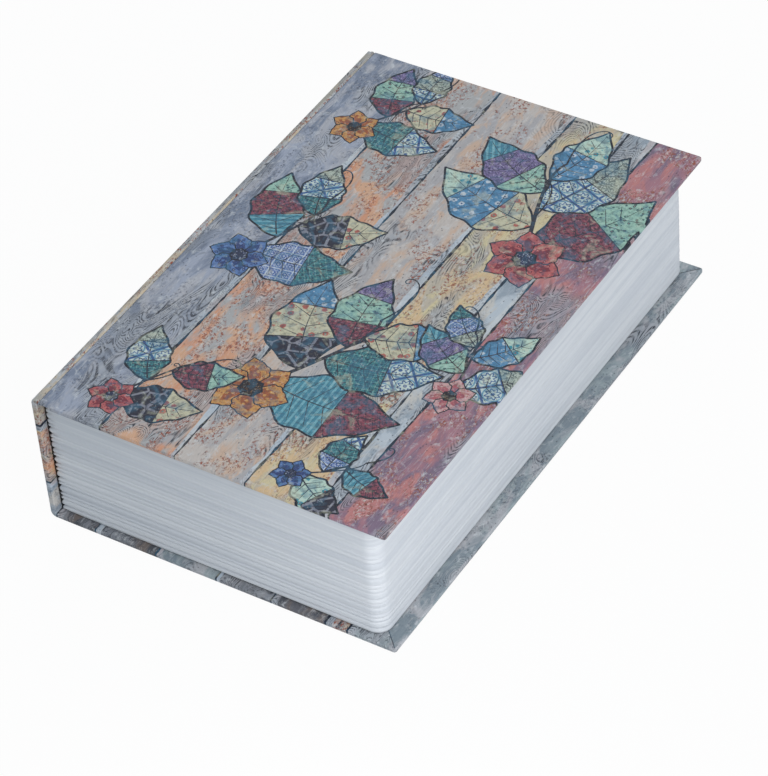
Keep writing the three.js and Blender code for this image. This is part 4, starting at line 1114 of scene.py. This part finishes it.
def cover_joint():
    """The strip of doubled paper that the front cover swings on, with its pressed crease."""
    start, end = SPINE_IN_MM - JOINT_OVERLAP_MM, COVER_START_MM + JOINT_OVERLAP_MM
    top = []
    for step in range(JOINT_STEPS + 1):
        x = start + (end - start) * step / JOINT_STEPS
        away = min(abs(x - CREASE_X_MM) / CREASE_HALF_WIDTH_MM, 1.0)
        top.append((x, TOP_MM - JOINT_DROP_MM - CREASE_DEPTH_MM * (1 - away) ** 1.5))
    loop = top + [(x, z - JOINT_THICKNESS_MM) for x, z in top[::-1]]
    strip = PrintedMesh()
    mesh = strip.mesh
    reach = HALF_HEIGHT_MM - JOINT_END_GAP_MM
    places = [reach * (2 * step / JOINT_LENGTH_STEPS - 1) for step in range(JOINT_LENGTH_STEPS + 1)]
    rings = [[strip.vertex(x, y, z) for x, z in loop] for y in places]
    for ring, after in zip(rings, rings[1:]):
        bridge(mesh, ring, after)
    smoothed(mesh)
    for ring in (rings[0], rings[-1]):
        for k in range(JOINT_STEPS):
            mesh.faces.new([ring[k], ring[k + 1], ring[-2 - k], ring[-1 - k]])
    bmesh.ops.recalc_face_normals(mesh, faces=mesh.faces)
    spine_paint, front_paint = [paint for _, paint in front_planks() if paint.kind < SOLID][:2]
    for face in mesh.faces:
        is_spine = face.calc_center_median().x / MM < CREASE_X_MM
        flat = [corner.vert.co.xy / MM for corner in face.loops]
        strip.mark(face, flat, spine_paint if is_spine else front_paint)
    joint = placed(finished("cover_joint", mesh), "printed_paper", None)
    start, end = Vector((SPINE_IN_MM, 0, TOP_MM)) * MM, Vector((COVER_START_MM, 0, TOP_MM)) * MM
    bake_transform(joint)


# Page block

BLOCK_LOW, BLOCK_HIGH = box_mm("page_block")
BOX_LOW, BOX_HIGH = box_mm("safe_box")
BLOCK_CORNER_MM = 6.0
BLOCK_SPINE_CORNER_MM = 1.1
BLOCK_CORNER_STEPS = 10
HOLE_GAP_MM = 0.05
HOLE_CORNER_MM = 1.0
RIB_PITCH = 2.5 * MM
RIB_DEPTH = 0.5 * MM
SPINE_TOOTH_DEPTH = 1.25 * MM
SMOOTH_DEPTH_MM = (5.0, 19.0)
WALL_POINT_SPACING_MM = 2.6
WALL_LEVELS = 210
SWAY_SCALE = (14.0, 14.0, 90.0)
FORE_FADE = 1.5 * MM
TOOTH_REACH = 2.4 * MM
PLAIN_TOP = (0.3 * MM, 1.6 * MM)
RIM_HEIGHT_TOLERANCE_MM = 0.5
RIM_TOLERANCE_MM = 1e-5


def block_outline():
    """The page block's outline, anticlockwise, with points close enough for uneven ribs."""
    radii = BLOCK_SPINE_CORNER_MM, BLOCK_CORNER_MM
    arcs = corner_arcs(BLOCK_LOW, BLOCK_HIGH, 0.0, *radii, BLOCK_CORNER_STEPS)
    points = []
    for arc, after in zip(arcs, arcs[1:] + arcs[:1]):
        start, end = arc[-1], after[0]
        count = max(round((end - start).length / WALL_POINT_SPACING_MM), 1)
        points += arc + [start.lerp(end, step / count) for step in range(1, count)]
    return points


class ShapeNodes(Nodes):
    """A geometry node tree under construction."""

    def __init__(self, name):
        super().__init__(bpy.data.node_groups.new(name, "GeometryNodeTree"))
        for side in ("INPUT", "OUTPUT"):
            self.tree.interface.new_socket("Geometry", in_out=side, socket_type="NodeSocketGeometry")
        self.inputs = self.tree.nodes.new("NodeGroupInput")
        self.values = {}

    def given(self, name):
        return Flow(self, self.inputs.outputs[name])

    def add_input(self, name, value, kind="NodeSocketFloat"):
        self.tree.interface.new_socket(name, in_out="INPUT", socket_type=kind)
        self.values[name] = value
        return self.given(name)

    def applied(self, shape, base):
        """The mesh of the shape that this tree makes from a base object, which is removed."""
        output = self.tree.nodes.new("NodeGroupOutput")
        self.plug(output.inputs[0], self.node("GeometryNodeRealizeInstances", {0: shape}))
        modifier = base.modifiers.new(self.tree.name, "NODES")
        modifier.node_group = self.tree
        for item in self.tree.interface.items_tree:
            if item.in_out == "INPUT" and item.name in self.values:
                modifier[item.identifier] = self.values[item.name]
        data = final_mesh(base)
        bpy.data.objects.remove(base)
        return data


def block_path():
    """An object of bare edges along the page block's outline."""
    mesh = bmesh.new()
    verts = ring_at(mesh, block_outline(), 0.0)
    for start, end in zip(verts, verts[1:] + verts[:1]):
        mesh.edges.new((start, end))
    return finished("page_path", mesh, closed=False)


def ribbed_wall():
    """The mesh of the page block's outside: a wall pressed into uneven page ribs."""
    nodes = ShapeNodes("page_ribs")
    pitch = nodes.add_input("Rib pitch", RIB_PITCH)
    depth = nodes.add_input("Rib depth", RIB_DEPTH)
    teeth_depth = nodes.add_input("Tooth depth at the spine", SPINE_TOOTH_DEPTH)
    spine_x = nodes.add_input("Spine side", BLOCK_LOW.x * MM)
    fore_x = nodes.add_input("Fore side", BLOCK_HIGH.x * MM)
    low = nodes.add_input("Bottom", BLOCK_LOW.z * MM)
    high = nodes.add_input("Top", BLOCK_HIGH.z * MM)
    material = nodes.add_input("Material", MATERIALS["page_plastic"], "NodeSocketMaterial")

    path = nodes.node("GeometryNodeMeshToCurve", {"Mesh": nodes.given("Geometry")})
    start, end = [nodes.node("ShaderNodeCombineXYZ", {"Y": level * -1.0}) for level in (low, high)]
    line = nodes.node("GeometryNodeCurvePrimitiveLine", {"Start": start, "End": end})
    levels = nodes.node("GeometryNodeResampleCurve", {"Curve": line, "Count": WALL_LEVELS})
    upright = nodes.node("GeometryNodeSetCurveNormal", {"Curve": path}, mode="Z_UP")
    wall = nodes.node("GeometryNodeCurveToMesh", {"Curve": upright, "Profile Curve": levels})

    place = nodes.node("GeometryNodeInputPosition")
    x, _, z = nodes.split(place)
    from_top = high - z
    squeezed = nodes.node("ShaderNodeVectorMath", {0: place, 1: SWAY_SCALE}, operation="MULTIPLY")
    sway = nodes.noise(squeezed, 1.0, 2.0) - 0.5
    ribs = (z - low).math("DIVIDE", pitch)
    slow_swell, quick_swell = [(ribs * rate).math("SINE") for rate in (2.1, 5.3)]
    ribs = ribs + slow_swell * 0.17 + quick_swell * 0.06 + sway * 0.5
    crest = abs((ribs * math.pi).math("SINE")).math("POWER", 0.9)
    valley = crest * -1.0 + 1.0
    smooth_start, smooth_end = (value * MM for value in SMOOTH_DEPTH_MM)
    strength = (sway * 1.2 + 0.8) * from_top.between(smooth_start, smooth_end, 0.2, 1.0)
    strength = strength * x.between(fore_x - FORE_FADE, fore_x, 1.0, 0.4)
    uneven = (sway + 0.5) * (depth * 0.45)
    teeth = valley * x.between(spine_x, spine_x + TOOTH_REACH, 1.0, 0.0) * teeth_depth
    pressed = (valley * strength * depth + uneven + teeth).math("MAXIMUM", 0.0)
    pressed = pressed * from_top.between(*PLAIN_TOP)
    normal = nodes.node("GeometryNodeInputNormal")
    inward = nodes.node("ShaderNodeVectorMath", {0: normal, "Scale": pressed}, operation="SCALE")
    shaped = nodes.node("GeometryNodeSetPosition", {"Geometry": wall, "Offset": inward})
    painted = nodes.node("GeometryNodeSetMaterial", {"Geometry": shaped, "Material": material})
    return nodes.applied(painted, block_path())


def page_block():
    """The moulded frame: the ribbed wall, closed by its rims and by the walls of its hole."""
    mesh = bmesh.new()
    mesh.from_mesh(ribbed_wall())
    smoothed(mesh)
    hole = rounded_outline(BOX_LOW, BOX_HIGH, -HOLE_GAP_MM, HOLE_CORNER_MM)
    open_edges = [edge for edge in mesh.edges if edge.is_boundary]
    hole_rings = []
    for height in (BLOCK_LOW.z, BLOCK_HIGH.z):
        rim = ordered_rim([
            edge for edge in open_edges
            if abs(edge.verts[0].co.z / MM - height) < RIM_HEIGHT_TOLERANCE_MM
        ])
        hole_rings.append(ring_at(mesh, hole, height))
        verts = rim + hole_rings[-1]
        flat = [vert.co.xy / MM for vert in verts]
        loops = [list(range(len(rim))), list(range(len(rim), len(verts)))]
        if area_of(flat[:len(rim)]) < 0:
            loops[0].reverse()
        _, _, triangles, sources, _, owners = delaunay_2d_cdt(
            flat, [], loops, INSIDE_ONLY, RIM_TOLERANCE_MM, True
        )
        for corners, owner in zip(triangles, owners):
            if 0 in owner and 1 not in owner:
                mesh.faces.new([verts[sources[i][0]] for i in corners])
    bridge(mesh, *hole_rings)
    placed(finished("page_edges", mesh), "page_plastic", "case", "page_block")


def ordered_rim(edges):
    """The vertices of a closed loop of edges, in order."""
    links = {}
    for edge in edges:
        a, b = edge.verts
        links.setdefault(a, []).append(b)
        links.setdefault(b, []).append(a)
    start = edges[0].verts[0]
    rim, before, here = [start], None, start
    while True:
        ahead = [vert for vert in links[here] if vert != before][0]
        if ahead == start:
            return rim
        rim.append(ahead)
        before, here = here, ahead


# A black strip of painted shade in the gap between the page block and the spine board
SHADE_STRIP_CLEARANCE_MM = 0.05
SHADE_STRIP_WAVE_MM = 0.15
SHADE_STRIP_RECESS_MM = 1.0
SHADE_STRIP_BELOW_TOP_MM = 1.8
SHADE_STRIP_STEPS = 90


def spine_glue():
    """A black strip that fills the gap between the page block and the spine: painted shade that darkens
    the gap.
    """
    spine_face, block_face = SPINE_IN_MM + SHADE_STRIP_CLEARANCE_MM, BLOCK_LOW.x - SHADE_STRIP_CLEARANCE_MM
    low, high = BACK_BOARD_TOP_MM + SHADE_STRIP_CLEARANCE_MM, BLOCK_HIGH.z - SHADE_STRIP_BELOW_TOP_MM
    draw = random.Random("spine_glue")
    mesh = bmesh.new()
    rings = []
    for step in range(SHADE_STRIP_STEPS + 1):
        recesses = [SHADE_STRIP_RECESS_MM + draw.uniform(0, SHADE_STRIP_WAVE_MM) for _ in range(2)]
        tail, head = BLOCK_LOW.y + recesses[0], BLOCK_HIGH.y - recesses[1]
        corners = [(spine_face, tail), (block_face, tail), (block_face, head), (spine_face, head)]
        rings.append(ring_at(mesh, corners, low + (high - low) * step / SHADE_STRIP_STEPS))
    for ring, above in zip(rings, rings[1:]):
        bridge(mesh, ring, above)
    mesh.faces.new(rings[0])
    mesh.faces.new(rings[-1])
    placed(finished("spine_glue", mesh), "felt", "case", material="spine_glue")


# Felt lining

FELT_CELL = 4.0 * MM
FELT_SOFT_EDGE = 0.45 * MM
FELT_WAVE = 0.045 * MM
FELT_BACK_LEVEL = 0.09 * MM
FELT_RIPPLES = ((90, 70), (310, 260))


def felt_stations(size):
    """Places across a sheet of felt, close together at its soft edges."""
    middle = size - 2 * FELT_SOFT_EDGE
    count = max(round(middle / FELT_CELL), 2)
    inner = [FELT_SOFT_EDGE + middle * i / count for i in range(count + 1)]
    near = FELT_SOFT_EDGE * 0.35
    return [0.0, near] + inner + [size - near, size]


def border(grid):
    """What lies round a grid of rows, in order."""
    far_side = [row[-1] for row in grid[-2::-1]]
    return [row[0] for row in grid] + grid[-1][1:] + far_side + grid[0][-2:0:-1]


def felt_sheet(name, flat_axes, node, swell_towards):
    """A cut piece of felt with soft edges, uneven by a hair, in the place of its CAD sheet."""
    low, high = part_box(node)
    across, along = flat_axes
    thick = 3 - across - along
    width, length, thickness = (high[axis] - low[axis] for axis in (across, along, thick))
    draw = random.Random(node)
    ripples = [(rates, [draw.uniform(0, 6) for _ in rates]) for rates in FELT_RIPPLES]

    def drop(u, v):
        """How far a face lies below its full height."""
        share = min(min(u, width - u, v, length - v) / FELT_SOFT_EDGE, 1.0)
        rounding = thickness / 2 * (1 - math.sqrt(1 - (1 - share) ** 2))
        wave = sum(
            math.sin(u * rates[0] + phases[0]) * math.sin(v * rates[1] + phases[1])
            for rates, phases in ripples
        )
        return rounding + FELT_WAVE * (1 + 0.5 * wave) * share

    mesh = bmesh.new()
    borders = []
    for is_front in (True, False):
        grid = []
        for u in felt_stations(width):
            row = []
            for v in felt_stations(length):
                fall = drop(u, v) if is_front else max(drop(u, v) - FELT_BACK_LEVEL, 0.0)
                place = Vector(low)
                place[across] += u
                place[along] += v
                is_high = is_front == (swell_towards > 0)
                place[thick] = high[thick] - fall if is_high else low[thick] + fall
                row.append(mesh.verts.new(place))
            grid.append(row)
        for row, after in zip(grid, grid[1:]):
            for j in range(len(row) - 1):
                mesh.faces.new([row[j], after[j], after[j + 1], row[j + 1]])
        borders.append(border(grid))
    bridge(mesh, *borders)
    bmesh.ops.remove_doubles(mesh, verts=mesh.verts, dist=SAME_PLACE)
    smoothed(mesh)
    piece = placed(finished(name, mesh), "felt", "case", node)


def felt_lining():
    felt_sheet("lining_floor", (0, 1), "felt_floor", 1)
    felt_sheet("lining_spine", (2, 1), "felt_wall_spine", 1)
    felt_sheet("lining_fore", (2, 1), "felt_wall_fore", -1)
    felt_sheet("lining_head", (0, 2), "felt_wall_head", -1)
    felt_sheet("lining_tail", (0, 2), "felt_wall_tail", 1)


# Lock

KNOB_LOW, KNOB_HIGH = box_mm("knob")
KNOB_X_MM = (KNOB_LOW.x + KNOB_HIGH.x) / 2
KNOB_Y_MM = (KNOB_LOW.y + KNOB_HIGH.y) / 2
KNOB_FLUTES = 20
STEPS_PER_FLUTE = 10
# Radius, height and share of the flutes' depth at each level, in mm
KNOB_PROFILE = [
    (0.0, 0.0, 0), (7.0, 0.0, 0), (10.9, 0.0, 0), (11.3, 0.08, 0), (11.5, 0.3, 0),
    (11.5, 1.2, 0), (11.42, 1.5, 0), (11.15, 1.68, 0), (10.4, 1.72, 0), (9.78, 1.76, 0.2),
    (9.55, 1.95, 0.7), (9.46, 2.4, 1), (9.36, 3.0, 1), (9.24, 3.45, 0.85), (8.98, 3.6, 0.4),
    (8.4, 3.64, 0), (7.42, 3.66, 0), (7.2, 3.78, 0), (7.12, 4.2, 0), (7.0, 4.9, 0),
    (6.9, 5.2, 0), (6.62, 5.36, 0), (6.1, 5.4, 0), (4.6, 5.33, 0), (2.4, 5.22, 0),
    (0.0, 5.18, 0),
]
FLUTE_DEPTH_MM = 0.42


def lock_knob():
    """The stepped knob with its fluted grip."""
    count = KNOB_FLUTES * STEPS_PER_FLUTE
    angles = [2 * math.pi * step / count for step in range(count)]
    mesh = bmesh.new()
    rings = []
    for radius, height, fluted in KNOB_PROFILE:
        points = []
        for angle in angles if radius else angles[:1]:
            dip = abs(math.cos(KNOB_FLUTES * angle / 2)) ** 3 * FLUTE_DEPTH_MM * fluted
            points.append(Vector((KNOB_X_MM, KNOB_Y_MM)) + (radius - dip) * way(angle))
        rings.append(ring_at(mesh, points, KNOB_LOW.z + height))
    for ring, above in zip(rings, rings[1:]):
        bridge(mesh, ring, above)
    smoothed(mesh)
    placed(finished("turning_knob", mesh), "knob_plastic", "latch", "knob")


PLATE_LOW, PLATE_HIGH = box_mm("lock_plate")
PLATE_CORNER_MM = 3.0
BORDER_INSET_MM = 1.3
BORDER_WIDTH_MM = 0.45
BORDER_CORNER_STEPS = 6
PRINT_THICKNESS_MM = 0.03
PRINT_LEVELS_MM = (PLATE_HIGH.z - PRINT_THICKNESS_MM, PLATE_HIGH.z + PRINT_THICKNESS_MM)


def plate_border():
    """The fine line printed round the lock plate."""
    mesh = bmesh.new()
    bands = []
    for inset in (BORDER_INSET_MM, BORDER_INSET_MM + BORDER_WIDTH_MM):
        radius = PLATE_CORNER_MM - inset
        outline = rounded_outline(PLATE_LOW, PLATE_HIGH, inset, radius, BORDER_CORNER_STEPS)
        bands.append([ring_at(mesh, outline, level) for level in PRINT_LEVELS_MM])
    rings = bands[0] + bands[1][::-1]
    for ring, after in zip(rings, rings[1:] + rings[:1]):
        bridge(mesh, ring, after)
    placed(finished("plate_border", mesh), "lock_plastic", "door", material="gold_print")


WHEEL_NODES = tuple(f"number_wheel_{number}" for number in (1, 2, 3))
MARK_GAP_MM = 1.4
MARK_LENGTH_MM = 1.9
MARK_WIDTH_MM = 2.0


def index_marks():
    """A printed arrow at each end of the row of wheels, on the line where the numerals are read."""
    boxes = [box_mm(node) for node in WHEEL_NODES]
    line = (boxes[0][0].x + boxes[0][1].x) / 2
    row_low = min(low.y for low, high in boxes) - MARK_GAP_MM
    row_high = max(high.y for low, high in boxes) + MARK_GAP_MM
    mesh = bmesh.new()
    for tip, away in ((row_low, -1), (row_high, 1)):
        base = tip + away * MARK_LENGTH_MM
        half = MARK_WIDTH_MM / 2
        outline = [(line, tip), (line + half, base), (line - half, base)]
        rings = [ring_at(mesh, outline, level) for level in PRINT_LEVELS_MM]
        bridge(mesh, *rings)
        for ring in rings:
            mesh.faces.new(ring)
    placed(finished("index_marks", mesh), "lock_plastic", "door", material="white_print")


WHEEL_RADIUS = 6.5 * MM
DIGIT_HEIGHT = 3.9 * MM
DIGIT_THICKNESS = 0.05 * MM
DIGIT_BOLDNESS = 0.012 * MM
DIGIT_NARROWING = 0.82
FONT_PER_DIGIT = 1.42
DIGIT_CURVE_STEPS = 4


def numeral(digit):
    """The mesh of a numeral that lies flat."""
    curve = bpy.data.curves.new("numeral", "FONT")
    curve.body = str(digit)
    curve.size = DIGIT_HEIGHT * FONT_PER_DIGIT
    curve.extrude = DIGIT_THICKNESS
    curve.offset = DIGIT_BOLDNESS
    curve.resolution_u = DIGIT_CURVE_STEPS
    text = bpy.data.objects.new("numeral", curve)
    SCENE.collection.objects.link(text)
    data = final_mesh(text)
    bpy.data.objects.remove(text)
    return data


def wheel_digits(number, node):
    """Ten numerals round one wheel."""
    low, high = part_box(node)
    axle = (low + high) / 2
    mesh = bmesh.new()
    for digit in range(10):
        before = len(mesh.verts)
        mesh.from_mesh(numeral(digit))
        verts = list(mesh.verts)[before:]
        left, right = (pick(vert.co.x for vert in verts) for pick in (min, max))
        bottom, top = (pick(vert.co.y for vert in verts) for pick in (min, max))
        stretch = DIGIT_HEIGHT / (top - bottom)
        for vert in verts:
            x = (vert.co.x - (left + right) / 2) * stretch * DIGIT_NARROWING
            y = (vert.co.y - (bottom + top) / 2) * stretch
            angle = digit * math.pi / 5 + x / WHEEL_RADIUS
            reach = WHEEL_RADIUS + vert.co.z
            vert.co = axle + Vector((reach * math.sin(angle), y, reach * math.cos(angle)))
    bmesh.ops.remove_doubles(mesh, verts=mesh.verts, dist=SAME_PRINT_PLACE)
    piece = finished(f"numerals_{number}", mesh)
    placed(piece, "wheel_plastic", f"wheel_{number}", material="white_print")


def lock_faces():
    lock_knob()
    plate_border()
    index_marks()
    for number, node in enumerate(WHEEL_NODES, 1):
        wheel_digits(number, node)


# Smoother copies of CAD parts

FLAT_NODES = ("back_endpaper", "front_endpaper", "strike_rail", "lock_housing")
SMOOTH_ANGLE = math.radians(32)
SLOT_NODES = {
    "endpaper": ("back_endpaper", "front_endpaper"),
    "strike_enamel": ("strike_rail",),
    "box_enamel": ("safe_box",),
    "door_enamel": ("door_pan",),
    "bush_brass": ("spindle_bush",),
    "lock_plastic": ("lock_plate", "lock_housing", "reset_lever"),
    "wheel_plastic": WHEEL_NODES,
    "plated_steel": (
        "hinge_pin", "spindle", "cam_screw", "lock_screw_head", "lock_screw_tail", "wheel_axle",
        "detent_spring", "latch_cam",
    ),
}
NODE_SLOTS = {node: slot for slot, nodes in SLOT_NODES.items() for node in nodes}


def smooth_copy(node, source):
    """A copy of a CAD part with its corners merged, so that its round faces shade as round."""
    mesh = bmesh.new()
    mesh.from_mesh(source.data)
    bmesh.ops.remove_doubles(mesh, verts=mesh.verts, dist=SAME_PLACE)
    smoothed(mesh)
    for edge in mesh.edges:
        edge.smooth = len(edge.link_faces) == 2 and edge.calc_face_angle(0) < SMOOTH_ANGLE
    piece = finished(f"{node}_smooth", mesh, closed=False)
    placed(piece, NODE_SLOTS.get(node, "hinge_steel"), source["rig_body"], node)


def cad_parts():
    """The parts that the CAD shapes in full. Those with no slot of their own are hinge steel."""
    for node, source in frame["nodes"].items():
        if source.hide_render:
            continue
        if node in FLAT_NODES:
            source.data.materials.clear()
            source.data.materials.append(MATERIALS[NODE_SLOTS[node]])
        else:
            smooth_copy(node, source)


# Stage

FLOOR_REACH = 6.0
FLOOR_DROP = 0.05 * MM
FLOOR_GREY = (0.7, 0.7, 0.71, 1)
FLOOR_GLOW = 0.96
SKY_COLOUR = (0.8, 0.92, 1.0, 1)
SKY_STRENGTH = 0.425
WHITE = (1, 1, 1, 1)
BOOK_MIDDLE = (0, 0, 0.03)
NEAR_CORNER = (0.07, -0.12, 0.03)


def pale_floor():
    """Grey for the light that it sends on, and nearly white as the camera sees it."""
    finish = Finish("pale_floor")
    finish.done(FLOOR_GREY, 1.0)
    grey = Flow(finish, finish.surface.outputs[0])
    glow = finish.node("ShaderNodeEmission", {"Color": WHITE})
    seen = finish.node("ShaderNodeLightPath", output="Is Camera Ray") * FLOOR_GLOW
    blend = finish.node("ShaderNodeMixShader", {0: seen, 1: grey, 2: glow})
    finish.plug(finish.tree.nodes["Material Output"].inputs["Surface"], blend)


def floor():
    mesh = bmesh.new()
    corners = ((-1, -1), (1, -1), (1, 1), (-1, 1))
    mesh.faces.new([mesh.verts.new((x * FLOOR_REACH, y * FLOOR_REACH, 0)) for x, y in corners])
    piece = finished("floor", mesh, closed=False)
    piece.location.z = -FLOOR_DROP
    pale_floor()
    piece.data.materials.append(MATERIALS["pale_floor"])


def sky():
    """Soft cool light from all round, and plain white as the camera sees it."""
    world = bpy.data.worlds.new("studio")
    SCENE.world = world
    world.use_nodes = True
    nodes = Nodes(world.node_tree)
    soft = nodes.node("ShaderNodeBackground", {"Color": SKY_COLOUR, "Strength": SKY_STRENGTH})
    white = nodes.node("ShaderNodeBackground", {"Color": WHITE})
    rays = [
        nodes.node("ShaderNodeLightPath", output=f"Is {kind} Ray") for kind in ("Camera", "Transmission")
    ]
    blend = nodes.node("ShaderNodeMixShader", {0: rays[0] + rays[1], 1: soft, 2: white})
    nodes.plug(nodes.tree.nodes["World Output"].inputs["Surface"], blend)


def lamp(name, place, target, size, power):
    light = bpy.data.lights.new(name, "AREA")
    light.shape = "DISK"
    light.size = size
    light.energy = power
    lit = bpy.data.objects.new(name, light)
    lit.location = place
    lit.rotation_euler = (Vector(place) - Vector(target)).to_track_quat("Z", "Y").to_euler()
    lit.visible_camera = False
    SCENE.collection.objects.link(lit)


def camera():
    data = bpy.data.cameras.new("camera")
    data.sensor_width = SENSOR_WIDTH
    data.lens = CAMERA_LENS
    data.shift_x, data.shift_y = CAMERA_SHIFT
    data.clip_start, data.clip_end = CAMERA_CLIP
    seen_from = bpy.data.objects.new("camera", data)
    seen_from.location = CAMERA_PLACE
    seen_from.rotation_euler = Euler([math.radians(angle) for angle in CAMERA_TURN_DEGREES])
    SCENE.collection.objects.link(seen_from)
    SCENE.camera = seen_from


camera()
printed_covers()
cover_joint()
page_block()
# the black strip of painted shade in the gap beside the spine
spine_glue()
felt_lining()
lock_faces()
cad_parts()
floor()
sky()
lamp("key_light", (1.6, -0.45, 1.25), BOOK_MIDDLE, 1.5, 23)
lamp("back_light", (-0.9, 1.3, 1.9), BOOK_MIDDLE, 1.6, 9.5)
lamp("corner_light", (0.13, -0.24, 0.06), NEAR_CORNER, 0.12, 0.072)
SCENE.view_settings.view_transform = "Standard"
